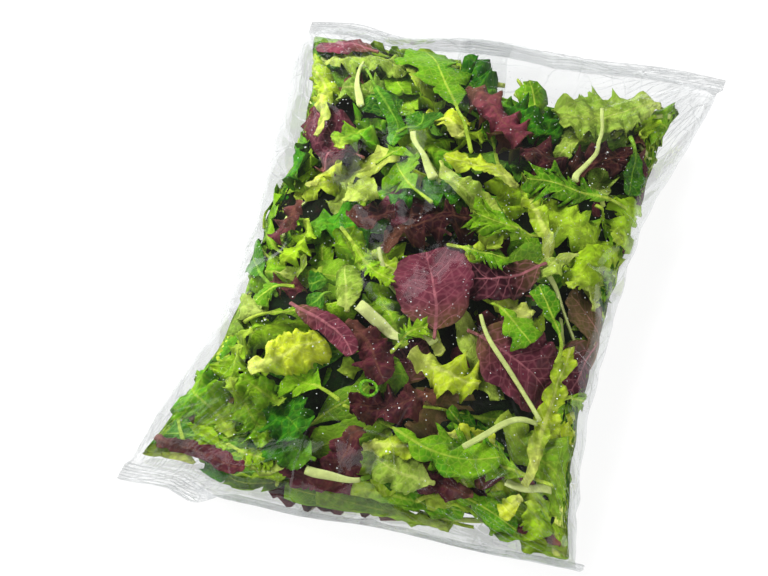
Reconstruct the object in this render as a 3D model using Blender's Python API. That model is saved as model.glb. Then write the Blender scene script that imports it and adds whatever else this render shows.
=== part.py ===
"""A sealed pillow bag of salad leaves, lying on its back.

+Y runs along the bag towards its upper seal, +X to its right and +Z up.
The origin is under the middle of the bag, on the surface that it lies on.
The bag is one closed solid: a filled pillow between two thin crimped seals.
"""

from math import atan2, cos, exp, hypot, pi, sin

import bmesh
import bpy

# Driving sizes, in metres
BAG_LENGTH = 0.351  # over both seals, corner to corner
CORNER_WIDTH = 0.250  # across the seals
BAG_HEIGHT = 0.067
SEAL_DEPTH = 0.012
SEAL_THICKNESS = 0.0010
RIB_RISE = 0.0005
RIBS_PER_SEAL = 4

# How the filling sits
SIDE_LINE_HEIGHT = 0.029  # where the section is widest, at the middle of the bag
LOWER_SEAL_HEIGHT = 0.012
UPPER_SEAL_HEIGHT = 0.014
UNDERSIDE_DROP = 0.037  # what the underside would sag, were there no surface below it
FULLEST_AT = -0.010  # along Y
LOWER_FULLNESS = 3.0  # a high power stays full close to the seal
UPPER_FULLNESS = 2.4
SECTION_POWER = 0.86  # 1 is an ellipse, and less is squarer
SEAL_SECTION_POWER = 1.16

# Outline: each side, -1 left and 1 right, is narrowest at its own place along Y, and
# widens from there to the seals. A high power widens only close to the seal.
WAIST_HALF_WIDTH = {-1: 0.099, 1: 0.1065}
WAIST_AT = {-1: -0.045, 1: 0.060}
LOWER_POWER = {-1: 2.3, 1: 5.0}
UPPER_POWER = {-1: 1.25, 1: 0.85}

# Seal lines
UPPER_BOW = 0.004
UPPER_LIFT = 0.007
DIP_AT = -0.066  # the notch in the upper seal, along X
DIP_DEPTH = 0.006
DIP_WIDTH = 0.018
EAR_TURN = 0.003  # how far the corners turn up or down

# Creases and lumps
LUMP_HEIGHT = 0.0016
PUCKER_DEPTH = 0.0016
PUCKER_PITCH = 0.027
FOLD_DEPTH = 0.0022
FOLD_REACH = 0.045
BACK_SEAM_WIDTH = 0.030
BACK_SEAM_AT = -0.015  # along X
BACK_SEAM_RISE = 0.0008

# Faces
ACROSS = 28
ALONG_BODY = 40
ALONG_SEAL = 2 * RIBS_PER_SEAL

HALF_LENGTH = BAG_LENGTH / 2
HALF_BODY = HALF_LENGTH - SEAL_DEPTH


def clear_scene():
    """Remove every object that is already in the scene."""
    for item in list(bpy.data.objects):
        bpy.data.objects.remove(item, do_unlink=True)


def film_material():
    """Clear glossy film over green leaves, as one colour."""
    material = bpy.data.materials.new("salad_bag")
    material.use_nodes = True
    shader = material.node_tree.nodes["Principled BSDF"]
    shader.inputs["Base Color"].default_value = (0.17, 0.25, 0.07, 1.0)
    shader.inputs["Roughness"].default_value = 0.25
    shader.inputs["Metallic"].default_value = 0.0
    return material


def box_grid():
    """A box of side 2, cut into ACROSS by all the steps along, and one step deep."""
    grid = bmesh.new()
    bmesh.ops.create_cube(grid, size=2.0)
    for axis, steps in ((0, ACROSS), (1, ALONG_BODY + 2 * ALONG_SEAL)):
        edges = []
        for edge in grid.edges:
            span = edge.verts[0].co - edge.verts[1].co
            if abs(span[axis]) > 1.0:
                edges.append(edge)
        bmesh.ops.subdivide_edges(grid, edges=edges, cuts=steps - 1, use_grid_fill=True)
    return grid


def station(step):
    """The length along the bag of a step, with closer steps towards the seals."""
    last = ALONG_BODY + 2 * ALONG_SEAL
    if step <= ALONG_SEAL:
        return -HALF_LENGTH + SEAL_DEPTH * step / ALONG_SEAL
    if step >= last - ALONG_SEAL:
        return HALF_LENGTH - SEAL_DEPTH * (last - step) / ALONG_SEAL
    turn = pi * (step - ALONG_SEAL) / ALONG_BODY
    return -HALF_BODY * (0.35 * (1.0 - 2.0 * turn / pi) + 0.65 * cos(turn))


def fullness(along):
    """0 at the seals and 1 at the fullest place."""
    if along < FULLEST_AT:
        part = (FULLEST_AT - along) / (FULLEST_AT + HALF_BODY)
        power = LOWER_FULLNESS
    else:
        part = (along - FULLEST_AT) / (HALF_BODY - FULLEST_AT)
        power = UPPER_FULLNESS
    return (1.0 - min(1.0, part) ** power) ** 0.5


def half_width(along, side):
    """The bag's width on one side: widest at the seals and narrow at the waist."""
    spread = CORNER_WIDTH / 2 - WAIST_HALF_WIDTH[side]
    from_waist = along - WAIST_AT[side]
    if from_waist < 0:
        part = from_waist / (-HALF_BODY - WAIST_AT[side])
        power = LOWER_POWER[side]
    else:
        part = from_waist / (HALF_BODY - WAIST_AT[side])
        power = UPPER_POWER[side]
    return WAIST_HALF_WIDTH[side] + spread * min(1.0, part) ** power


def puckers(along):
    """Small pleats down each side, where the edge of the film is too long."""
    wander = 1.4 * sin(2 * pi * along / 0.151 + 0.7)
    wave = sin(2 * pi * along / PUCKER_PITCH + wander)
    return PUCKER_DEPTH * fullness(along) * (wave + 0.4 * sin(2 * pi * along / 0.0173 + 1.9))


def folds(x, y):
    """Creases that fan out from the four corners."""
    rise = 0.0
    for end in (-1, 1):
        for side in (-1, 1):
            dx = CORNER_WIDTH / 2 - side * x
            dy = HALF_BODY - end * y
            reach = hypot(dx, dy) / FOLD_REACH
            swell = reach * reach * exp(1.0 - reach * reach)
            rise += FOLD_DEPTH * swell * cos(9.0 * atan2(dy, dx) + 1.1 * side + 0.6 * end)
    return rise


def lumps(x, y):
    """The uneven filling, as it pushes the film out."""
    long_waves = sin(2 * pi * (x / 0.083 + y / 0.121)) + sin(2 * pi * (x / 0.109 - y / 0.067) + 2.1)
    short_waves = sin(2 * pi * (x / 0.047 + y / 0.171) + 0.9) * sin(2 * pi * y / 0.053 + 1.7)
    return LUMP_HEIGHT * (0.6 * long_waves + 0.8 * short_waves)


def seal_height(x, end):
    """How high a seal's centre line lies, wavy and with turned corners."""
    ratio = 2 * x / CORNER_WIDTH
    wave = 0.0016 * sin(2 * pi * x / 0.094 + 1.0 + end)
    if end < 0:
        return LOWER_SEAL_HEIGHT + wave + EAR_TURN * (0.4 * ratio**4 - 0.5 * ratio**3)
    lift = UPPER_LIFT * (1.0 - ratio * ratio)
    return UPPER_SEAL_HEIGHT + wave + lift + EAR_TURN * (ratio**3 - 0.3 * ratio**4)


def seal_shift(x, end):
    """How far a seal's line strays along the bag: it bows in and has one dip."""
    ratio = 2 * x / CORNER_WIDTH
    if end < 0:
        return 0.0012 * (1.0 - ratio * ratio)
    dip = DIP_DEPTH * exp(-(((x - DIP_AT) / DIP_WIDTH) ** 2))
    return -UPPER_BOW * (1.0 - ratio * ratio) - dip


def back_seam(x):
    """The folded seam down the back, which thickens the film there."""
    inside = abs(x - BACK_SEAM_AT) < BACK_SEAM_WIDTH / 2
    return BACK_SEAM_RISE if inside else 0.0


def seal_point(x, y, along, seal_z, side):
    """A place on a seal, which is two flat sheets pressed into ribs."""
    rib = round((abs(along) - HALF_BODY) / SEAL_DEPTH * ALONG_SEAL)
    rise = 0.0
    if rib > 0:
        rise = RIB_RISE if rib % 2 else -RIB_RISE
    sheet = SEAL_THICKNESS / 2
    if side < 0:
        sheet += back_seam(x)
    return x, y, seal_z + rise + side * sheet


def body_point(x, y, side_z, swell, side):
    """A place on the filled body. swell is 0 at its edges and 1 in the middle."""
    sheet = SEAL_THICKNESS / 2
    if side > 0:
        relief = (lumps(x, y) + folds(x, y)) * swell
        return x, y, side_z + sheet + (BAG_HEIGHT - SIDE_LINE_HEIGHT) * swell + relief
    drop = UNDERSIDE_DROP * swell + back_seam(x) - folds(-x, y) * swell
    return x, y, max(0.0, side_z - sheet - drop)


def bag_point(across, step, side):
    """A place on the bag. across is -1 to 1, and side is 1 above and -1 below."""
    along = station(step)
    full = fullness(along)
    angle = 0.5 * pi * across
    power = SECTION_POWER + (SEAL_SECTION_POWER - SECTION_POWER) * (1.0 - full)
    hand = 1 if across >= 0 else -1
    x = hand * half_width(along, hand) * abs(sin(angle)) ** power
    x += hand * puckers(along) * abs(across) ** 6
    end = 1 if along > 0 else -1
    y = along + seal_shift(x, end) * min(1.0, abs(along) / HALF_BODY) ** 3
    seal_z = seal_height(x, end)
    if full == 0.0:
        return seal_point(x, y, along, seal_z, side)
    side_z = seal_z + (SIDE_LINE_HEIGHT - seal_z) * full
    return body_point(x, y, side_z, full * abs(cos(angle)) ** power, side)


def make_bag():
    """The whole bag, bent from a gridded box."""
    grid = box_grid()
    last = ALONG_BODY + 2 * ALONG_SEAL
    for vertex in grid.verts:
        across, along, side = vertex.co
        step = round((along + 1.0) / 2.0 * last)
        vertex.co = bag_point(across, step, 1 if side > 0 else -1)
    bmesh.ops.recalc_face_normals(grid, faces=grid.faces)
    mesh = bpy.data.meshes.new("salad_bag")
    grid.to_mesh(mesh)
    grid.free()
    mesh.shade_smooth()
    mesh.materials.append(film_material())
    return bpy.data.objects.new("salad_bag", mesh)


def settle(bag):
    """Move the mesh so that the origin is under the middle of its bounds."""
    xs = [vertex.co.x for vertex in bag.data.vertices]
    ys = [vertex.co.y for vertex in bag.data.vertices]
    for vertex in bag.data.vertices:
        vertex.co.x -= (max(xs) + min(xs)) / 2
        vertex.co.y -= (max(ys) + min(ys)) / 2


def main():
    clear_scene()
    parts = bpy.data.collections.new("bag_of_salad_leaves")
    bpy.context.scene.collection.children.link(parts)
    bag = make_bag()
    settle(bag)
    parts.objects.link(bag)


main()
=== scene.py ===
"""A clear pillow bag of mixed salad leaves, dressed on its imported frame.

The film is a closed surface laid over the frame's shape, with the creases that a
cloth simulation of a flat tube of film gives when it is filled. The leaves lie in
layers under it: each one follows the bag's surface at its own depth and rests
against the leaves above it.
"""

from functools import lru_cache
from math import cos, hypot, pi, radians, sin
from typing import NamedTuple

import bmesh
import bpy
import numpy as np
from bpy.props import FloatProperty, FloatVectorProperty, IntProperty, PointerProperty
from bpy.types import Operator, Panel, PropertyGroup
from mathutils import Matrix, Vector
from mathutils.bvhtree import BVHTree


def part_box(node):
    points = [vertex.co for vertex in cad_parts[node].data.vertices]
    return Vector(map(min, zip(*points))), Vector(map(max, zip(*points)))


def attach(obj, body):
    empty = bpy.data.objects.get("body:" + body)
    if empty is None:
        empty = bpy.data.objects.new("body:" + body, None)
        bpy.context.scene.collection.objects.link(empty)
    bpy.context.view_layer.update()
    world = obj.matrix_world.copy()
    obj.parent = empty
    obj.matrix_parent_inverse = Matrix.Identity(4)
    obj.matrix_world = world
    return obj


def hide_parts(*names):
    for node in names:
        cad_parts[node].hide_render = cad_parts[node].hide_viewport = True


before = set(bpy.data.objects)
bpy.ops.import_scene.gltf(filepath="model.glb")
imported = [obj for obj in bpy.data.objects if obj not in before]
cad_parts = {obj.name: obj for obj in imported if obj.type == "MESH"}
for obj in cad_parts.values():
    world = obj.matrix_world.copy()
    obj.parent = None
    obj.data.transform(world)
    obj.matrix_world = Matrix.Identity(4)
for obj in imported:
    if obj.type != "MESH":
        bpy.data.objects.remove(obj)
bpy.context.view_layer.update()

bl_info = {
    "name": "Bag of Salad Leaves",
    "version": (1, 0, 0),
    "blender": (4, 5, 0),
    "location": "View3D > Sidebar > Salad Bag",
    "description": "Builds a clear pillow bag of mixed salad leaves",
    "category": "Object",
}

NODE = "salad_bag"
LOW, HIGH = (np.array(corner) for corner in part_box(NODE))
HALF_LENGTH = float(HIGH[1] - LOW[1]) / 2

# The film's grid: columns across one side of the bag, and rows along it
COLUMNS = 76
RING = 2 * COLUMNS
SEAL_ROWS = 8
BODY_ROWS = 92
ROWS = BODY_ROWS + 2 * SEAL_ROWS

MM = 0.001


# ---------------------------------------------------------------- settings


class BagSizes(PropertyGroup):
    """Sizes of the film and of the pile of leaves."""

    flat_width: FloatProperty(
        name="Flat width",
        description="Width of the empty bag, laid flat",
        default=0.250,
        unit="LENGTH",
    )
    flat_length: FloatProperty(
        name="Flat length",
        description="Length of the empty bag over both seals",
        default=0.365,
        unit="LENGTH",
    )
    seal_depth: FloatProperty(
        name="Seal depth",
        description="Depth of the ribbed seal at each end",
        default=0.012,
        unit="LENGTH",
    )
    rib_rise: FloatProperty(
        name="Rib rise",
        description="How far a rib of the seal stands out",
        default=0.00035,
        unit="LENGTH",
    )
    seam_width: FloatProperty(
        name="Back seam width",
        description="Width of the folded seam down the back",
        default=0.030,
        unit="LENGTH",
    )
    seam_place: FloatProperty(
        name="Back seam place",
        description="How far the back seam lies to the right of the middle",
        default=-0.015,
        unit="LENGTH",
    )
    droplets: IntProperty(
        name="Droplets",
        description="Beads of water on the inside of the film",
        default=2000,
        min=0,
    )
    leaf_thickness: FloatProperty(
        name="Leaf thickness",
        description="Thickness of a leaf's blade",
        default=0.0003,
        unit="LENGTH",
    )
    core_depth: FloatProperty(
        name="Core depth",
        description="How far under the film the solid core of the pile starts",
        default=0.024,
        unit="LENGTH",
    )
    seed: IntProperty(
        name="Seed",
        description="Seed of the leaves that are scattered under the placed ones",
        default=7,
        min=0,
    )


def colour_property(name, description, default):
    """A colour setting, in linear red, green and blue."""
    return FloatVectorProperty(
        name=name,
        description=description,
        default=default,
        subtype="COLOR",
        size=3,
        min=0.0,
        max=1.0,
    )


class BagColours(PropertyGroup):
    """Colours of the film and of the stage. The leaves' colours are in KINDS."""

    film: colour_property("Film", "Tint of light through the film", (0.968, 0.972, 0.972))
    haze: colour_property("Haze", "Milky bloom on the film", (0.86, 0.87, 0.87))
    # The core colour is painted shade: near-black, for the shadowed leaves deep in the pile
    core: colour_property("Core", "Depths of the pile", (0.004, 0.007, 0.002))
    floor: colour_property("Floor", "Floor of the stage", (0.12, 0.12, 0.12))


def sizes():
    return bpy.context.scene.salad_sizes


def colours():
    return bpy.context.scene.salad_colours


# ---------------------------------------------------------------- small tools


def add_object(name, mesh):
    """A new object for a finished mesh, linked to the scene."""
    piece = bpy.data.objects.new(name, mesh)
    bpy.context.scene.collection.objects.link(piece)
    return piece


def smooth_step(low, high, value):
    """0 below low, 1 above high, and a smooth turn between them."""
    part = np.clip((value - low) / (high - low), 0.0, 1.0)
    return part * part * (3.0 - 2.0 * part)


def blur(field, reach, axis, wrap):
    """A Gaussian blur of an array along one axis. reach is in cells."""
    size = int(3 * reach) + 1
    offsets = np.arange(-size, size + 1)
    weights = np.exp(-0.5 * (offsets / reach) ** 2)
    weights /= weights.sum()
    count = field.shape[axis]
    result = np.zeros_like(field)
    for offset, weight in zip(offsets, weights):
        places = np.arange(count) + offset
        places = places % count if wrap else np.clip(places, 0, count - 1)
        result += weight * np.take(field, places, axis=axis)
    return result


def blur_skin(field, along, around):
    """A blur over the film's grid, which is closed around the bag."""
    return blur(blur(field, along, 0, False), around, 1, True)


class Nodes:
    """Short calls for a material's nodes. A value may be a number or a socket."""

    def __init__(self, name):
        self.material = bpy.data.materials.new(name)
        self.material.use_nodes = True
        self.tree = self.material.node_tree
        self.tree.nodes.clear()
        self.output = self.tree.nodes.new("ShaderNodeOutputMaterial")

    def set(self, socket, value):
        if isinstance(value, bpy.types.NodeSocket):
            self.tree.links.new(value, socket)
        elif socket.type == "RGBA" and len(value) == 3:
            socket.default_value = (*value, 1.0)
        else:
            socket.default_value = value

    def add(self, kind, inputs=None, **settings):
        node = self.tree.nodes.new(kind)
        for key, value in settings.items():
            setattr(node, key, value)
        for key, value in (inputs or {}).items():
            self.set(node.inputs[key], value)
        return node

    def math(self, operation, *values, clamp=False):
        node = self.add("ShaderNodeMath", operation=operation, use_clamp=clamp)
        for socket, value in zip(node.inputs, values):
            self.set(socket, value)
        return node.outputs[0]

    def ramp(self, value, low, high, out_low=0.0, out_high=1.0):
        """Maps low to high onto out_low to out_high, smoothly."""
        node = self.add(
            "ShaderNodeMapRange",
            {
                "Value": value,
                "From Min": low,
                "From Max": high,
                "To Min": out_low,
                "To Max": out_high,
            },
            interpolation_type="SMOOTHSTEP",
        )
        return node.outputs["Result"]

    def mix(self, factor, first, second, blend="MIX"):
        node = self.add("ShaderNodeMix", data_type="RGBA", blend_type=blend)
        self.set(node.inputs[0], factor)
        self.set(node.inputs[6], first)
        self.set(node.inputs[7], second)
        return node.outputs[2]

    def attribute(self, name):
        return self.add("ShaderNodeAttribute", attribute_name=name)

    def noise(self, vector, scale, detail=2.0, roughness=0.5):
        node = self.add(
            "ShaderNodeTexNoise",
            {"Vector": vector, "Scale": scale, "Detail": detail, "Roughness": roughness},
        )
        return node.outputs["Fac"]

    def surface(self, shader):
        self.set(self.output.inputs["Surface"], shader)
        return self.material


# ---------------------------------------------------------------- the bag's mean surface


def row_places():
    """Where the film's rows lie along the bag, with close rows on the seals."""
    seal = sizes().seal_depth
    lower = np.linspace(-HALF_LENGTH, -HALF_LENGTH + seal, SEAL_ROWS, endpoint=False)
    body = np.linspace(-HALF_LENGTH + seal, HALF_LENGTH - seal, BODY_ROWS + 1)
    return np.concatenate([lower, body, -lower[::-1]])


def side_of(tree, place, hand):
    """How far the frame reaches to one side of the bag, at a place along it."""
    reach = 0.0
    for height in np.arange(0.25 * MM, 45 * MM, 0.5 * MM):
        start = Vector((hand * 0.2, place, height))
        hit = tree.ray_cast(start, Vector((-hand, 0.0, 0.0)))[0]
        if hit is not None:
            reach = max(reach, hand * hit.x)
    return reach


def height_at(tree, x, y, side):
    """The frame's upper (side 1) or lower (side -1) surface over a place."""
    hit = tree.ray_cast(Vector((x, y, side * 0.2)), Vector((0.0, 0.0, -side)))[0]
    return np.nan if hit is None else hit.z


def end_line(tree, side):
    """The frame's end as a line of (x, y), found by stepping inwards from outside."""
    xs = np.linspace(LOW[0] + 0.4 * MM, HIGH[0] - 0.4 * MM, 61)
    ends = []
    for x in xs:
        y = side * (HALF_LENGTH - 0.2 * MM)
        while np.isnan(height_at(tree, x, y, 1)) and abs(y) > HALF_LENGTH - 15 * MM:
            y -= side * 0.4 * MM
        ends.append(y)
    return xs, np.array(ends)


def fill_gaps(values):
    """Replaces missing heights by those beside them."""
    places = np.arange(len(values))
    known = ~np.isnan(values)
    return np.interp(places, places[known], values[known])


@lru_cache(maxsize=None)
def mean_surface():
    """The frame's surface as a grid of (row, place round the bag).

    Places 0 to COLUMNS run over the top from left to right, and the rest come
    back underneath, so that place 0 is the left edge and COLUMNS the right one.
    """
    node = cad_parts[NODE]
    tree = BVHTree.FromObject(node, bpy.context.evaluated_depsgraph_get())
    ends = {side: end_line(tree, side) for side in (-1, 1)}
    rows = row_places()
    grid = np.zeros((len(rows), RING, 3))
    spread = np.sin(np.linspace(-pi / 2, pi / 2, 61))
    for index, place in enumerate(rows):
        inner = float(np.clip(place, -HALF_LENGTH + 0.2 * MM, HALF_LENGTH - 0.2 * MM))
        left = side_of(tree, inner, -1)
        right = side_of(tree, inner, 1)
        xs = np.where(spread < 0, spread * left, spread * right) * 0.9995
        side = 1 if place > 0 else -1
        line = np.interp(xs, *ends[side]) - side * HALF_LENGTH
        ys = inner + line * abs(place / HALF_LENGTH) ** 3
        sheets = []
        for face in (1, -1):
            zs = [height_at(tree, x, y, face) for x, y in zip(xs, ys)]
            sheets.append(fill_gaps(np.array(zs)))
        middle = (sheets[0] + sheets[1]) / 2
        for face, zs in zip((1, -1), sheets):
            zs[0] = middle[0]
            zs[-1] = middle[-1]
            curve = np.stack([xs, ys, zs], axis=1)
            steps = np.linalg.norm(np.diff(curve[:, (0, 2)], axis=0), axis=1)
            length = np.concatenate([[0.0], np.cumsum(steps)])
            even = np.linspace(0.0, length[-1], COLUMNS + 1)
            sheet = np.stack([np.interp(even, length, curve[:, c]) for c in range(3)], 1)
            if face > 0:
                grid[index, : COLUMNS + 1] = sheet
            else:
                grid[index, COLUMNS:] = sheet[1:][::-1]
    body = slice(SEAL_ROWS, len(rows) - SEAL_ROWS)
    grid[body] = blur_skin(grid[body], 1.2, 1.0)
    return tuck_seal(grid)


def seal_turn(x):
    """How far the lower seal is folded under the bag, from its flat left corner on."""
    return radians(139) * smooth_step(-0.100, -0.066, x)


def tuck_seal(grid):
    """Folds the lower seal under the bag, and lets the bag fill the place it leaves."""
    inner = grid[SEAL_ROWS].copy()
    turn = seal_turn(inner[:, 0])
    slip = 14.5 * MM * turn / radians(139)
    away = grid[SEAL_ROWS:, :, 1] - inner[None, :, 1]
    grid[SEAL_ROWS:, :, 1] -= slip[None, :] * np.exp(-np.maximum(away, 0.0) / (24 * MM))
    for row in range(SEAL_ROWS):
        reach = inner[:, 1] - grid[row, :, 1]
        grid[row, :, 1] = inner[:, 1] - slip - reach * np.cos(turn)
        grid[row, :, 2] = np.maximum(inner[:, 2] - reach * np.sin(turn), 0.8 * MM)
    return grid


def mirror_places():
    """For each place round the bag, the one on the other sheet."""
    return (RING - np.arange(RING)) % RING


def surface_normals(grid):
    """Outward unit normals of a grid that is closed round the bag."""
    around = np.roll(grid, -1, axis=1) - np.roll(grid, 1, axis=1)
    along = np.gradient(grid, axis=0)
    normal = np.cross(around, along)
    return normal / np.maximum(np.linalg.norm(normal, axis=2, keepdims=True), 1e-9)


# ---------------------------------------------------------------- film


def film_grid():
    """A box cut into the film's columns and rows, with its places as layers."""
    grid = bmesh.new()
    bmesh.ops.create_cube(grid, size=2.0)
    for axis, steps in ((0, COLUMNS), (1, ROWS)):
        edges = []
        for edge in grid.edges:
            span = edge.verts[0].co - edge.verts[1].co
            if abs(span[axis]) > 1.0:
                edges.append(edge)
        bmesh.ops.subdivide_edges(grid, edges=edges, cuts=steps - 1, use_grid_fill=True)
    row_layer = grid.verts.layers.int.new("row")
    ring_layer = grid.verts.layers.int.new("ring")
    for vertex in grid.verts:
        column = round((vertex.co.x + 1.0) / 2.0 * COLUMNS)
        vertex[row_layer] = round((vertex.co.y + 1.0) / 2.0 * ROWS)
        vertex[ring_layer] = column if vertex.co.z > 0 else (RING - column) % RING
    return grid, row_layer, ring_layer


def flat_film():
    """The empty bag laid flat, its two sheets welded at the sides and seals."""
    grid, row_layer, ring_layer = film_grid()
    size = sizes()
    stretch = (size.flat_length - 2 * size.seal_depth) / (2 * (HALF_LENGTH - size.seal_depth))
    rows = row_places()
    body_end = HALF_LENGTH - size.seal_depth
    for vertex in grid.verts:
        row = vertex[row_layer]
        ring = vertex[ring_layer]
        column = ring if ring <= COLUMNS else RING - ring
        x = (column / COLUMNS - 0.5) * size.flat_width
        place = rows[row]
        inside = float(np.clip(place, -body_end, body_end))
        y = inside * stretch + (place - inside)
        from_side = min(1.0, (size.flat_width / 2 - abs(x)) / (20 * MM))
        from_seal = min(1.0, max(0.0, body_end - abs(place)) / (20 * MM))
        lift = 3 * MM * from_side * from_seal
        vertex.co = (x, y, lift if vertex.co.z > 0 else -lift)
    bmesh.ops.remove_doubles(grid, verts=grid.verts, dist=1e-6)
    return grid, row_layer, ring_layer


@lru_cache(maxsize=None)
def filled_film():
    """The flat bag blown up by a cloth simulation, as a grid like the mean surface."""
    grid, row_layer, ring_layer = flat_film()
    places = np.array([(vertex[row_layer], vertex[ring_layer]) for vertex in grid.verts])
    mesh = bpy.data.meshes.new("film_cloth")
    grid.to_mesh(mesh)
    grid.free()
    cloth = add_object("film_cloth", mesh)
    pressed = cloth.vertex_groups.new(name="pressed")
    inside = (places[:, 0] > SEAL_ROWS) & (places[:, 0] < ROWS - SEAL_ROWS)
    pressed.add([int(index) for index in np.nonzero(inside)[0]], 1.0, "REPLACE")
    modifier = cloth.modifiers.new("film", "CLOTH")
    film = modifier.settings
    film.quality = 5
    film.mass = 0.001
    film.tension_stiffness = 40
    film.compression_stiffness = 40
    film.shear_stiffness = 20
    film.bending_stiffness = 0.05
    film.tension_damping = 5
    film.compression_damping = 5
    film.shear_damping = 5
    film.bending_damping = 0.5
    film.air_damping = 1
    film.use_pressure = True
    film.uniform_pressure_force = 2.2
    film.vertex_group_pressure = "pressed"
    film.effector_weights.gravity = 0
    modifier.collision_settings.use_collision = False
    last_frame = 24
    modifier.point_cache.frame_start = 1
    modifier.point_cache.frame_end = last_frame
    for number in range(1, last_frame + 1):
        bpy.context.scene.frame_set(number)
    depsgraph = bpy.context.evaluated_depsgraph_get()
    result = cloth.evaluated_get(depsgraph).to_mesh()
    points = np.array([vertex.co for vertex in result.vertices])
    bpy.data.objects.remove(cloth, do_unlink=True)
    bpy.context.scene.frame_set(1)
    skin = np.full((ROWS + 1, RING, 3), np.nan)
    skin[places[:, 0], places[:, 1]] = points
    missing = np.isnan(skin[:, :, 0])
    skin[missing] = skin[:, mirror_places()][missing]
    return skin


def ridges(value, sharpness=1.5):
    """Sharp-crested waves between -0.5 and 0.5."""
    return (1 - np.abs(np.sin(pi * value))) ** sharpness - 0.5


def gathers(mean):
    """Folds that spread from the bag's corners, and short puckers at its seals."""
    x = mean[:, :, 0]
    y = mean[:, :, 1]
    height = np.zeros_like(x)
    for hand in (-1, 1):
        for end in (-1, 1):
            from_x = hand * HIGH[0] - x
            from_y = end * (HALF_LENGTH - sizes().seal_depth) - y
            reach = np.hypot(from_x, from_y)
            turn = np.arctan2(np.abs(from_y), np.abs(from_x)) / (pi / 2)
            fan = ridges(4.2 * turn + 0.5 * np.sin(9 * turn + hand + 2 * end))
            fade = smooth_step(2 * MM, 16 * MM, reach) * np.exp(-reach / (38 * MM))
            height += 5.0 * MM * fan * fade
    to_seal = HALF_LENGTH - sizes().seal_depth - np.abs(y)
    beat = x / (9 * MM) + 0.6 * np.sin(x * 90) + 0.4 * np.sin(x * 210 + y * 60)
    near = np.exp(-np.abs(to_seal) / (13 * MM)) * smooth_step(0.0, 3 * MM, to_seal)
    height += 1.3 * MM * ridges(beat) * near
    return height


def crease_field():
    """How far each place of the film strays from its mean surface."""
    mean = mean_surface()
    folded = surface_normals(blur_skin(mean, 2.0, 2.0)) * gathers(mean)[:, :, None]
    skin = filled_film()
    once = blur_skin(skin, 8.0, 8.0)
    low = 2.0 * once - blur_skin(once, 8.0, 8.0)
    stray = skin - low
    length = np.linalg.norm(stray, axis=2, keepdims=True)
    limit = 6 * MM
    stray = stray * np.minimum(1.0, limit / np.maximum(length, 1e-9))
    ring = np.arange(RING)
    from_edge = np.minimum(np.minimum(ring, RING - ring), np.abs(ring - COLUMNS))
    row = np.arange(ROWS + 1)
    from_seal = np.minimum(row, ROWS - row) - SEAL_ROWS
    free = smooth_step(-1, 8, from_edge)[None, :] * smooth_step(-1, 6, from_seal)[:, None]
    stray[:, :, :2] *= 0.25 + 0.75 * free[:, :, None]
    return stray + folded


@lru_cache(maxsize=None)
def film_surface():
    """The finished film as a grid: mean surface, creases and ribbed seals."""
    mean = mean_surface()
    mirrored = mirror_places()
    creases = crease_field()
    grid = mean + creases
    grid[:, :, 2] = np.maximum(grid[:, :, 2], 0.3 * MM)
    rows = np.arange(ROWS + 1)
    sealed = (rows <= SEAL_ROWS) | (rows >= ROWS - SEAL_ROWS)
    middle = (grid + grid[:, mirrored]) / 2
    seal_step = np.where(rows <= SEAL_ROWS, rows, ROWS - rows)
    rib = np.where(seal_step % 2, 1.0, -1.0) * sizes().rib_rise * (seal_step < SEAL_ROWS)
    upper = np.where(np.arange(RING) <= COLUMNS, 1.0, -1.0)
    sheet = 0.12 * MM * upper
    turn = seal_turn(middle[:, :, 0]) * (rows < ROWS / 2)[:, None]
    proud = (rib[:, None] + sheet[None, :])[:, :, None]
    outward = np.stack([np.zeros_like(turn), -np.sin(turn), np.cos(turn)], axis=2)
    grid[sealed] = (middle + proud * outward)[sealed]
    for edge in (0, COLUMNS):
        grid[~sealed, edge] = middle[~sealed, edge]
    return grid


def film_patterns():
    """What the film's material reads at each place of its grid.

    fan holds the turn round the nearest corner and the distance from it, sheet holds
    the place on the flat film, loose is 1 where the film is slack, and seal runs over
    a seal from 0 inside to 1 outside.
    """
    mean = mean_surface()
    x = mean[:, :, 0]
    y = mean[:, :, 1]
    from_x = HIGH[0] - np.abs(x)
    from_y = HALF_LENGTH - np.abs(y)
    turn = np.arctan2(from_y, np.maximum(from_x, 0.2 * MM))
    corner = 3.0 * np.sign(x) + 7.0 * np.sign(y)
    fan = np.stack([turn, np.hypot(from_x, from_y), corner], axis=2)
    ring = np.arange(RING)
    from_edge = np.minimum(np.minimum(ring, RING - ring), np.abs(ring - COLUMNS))
    row = np.arange(ROWS + 1)
    from_end = np.minimum(row, ROWS - row)
    slack = 1 - smooth_step(0, 13, from_edge)[None, :] * smooth_step(8, 30, from_end)[:, None]
    seal = np.clip(1 - from_end / SEAL_ROWS, 0.0, 1.0)
    seal = seal[:, None] * np.ones(RING)[None, :]
    around = ring * sizes().flat_width / COLUMNS
    along = row_places()
    flat = np.stack(np.meshgrid(along, around, indexing="ij"), axis=2)
    sheet = np.concatenate([flat, np.zeros((ROWS + 1, RING, 1))], axis=2)
    return {"fan": fan, "sheet": sheet, "loose": slack, "seal": seal}


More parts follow.
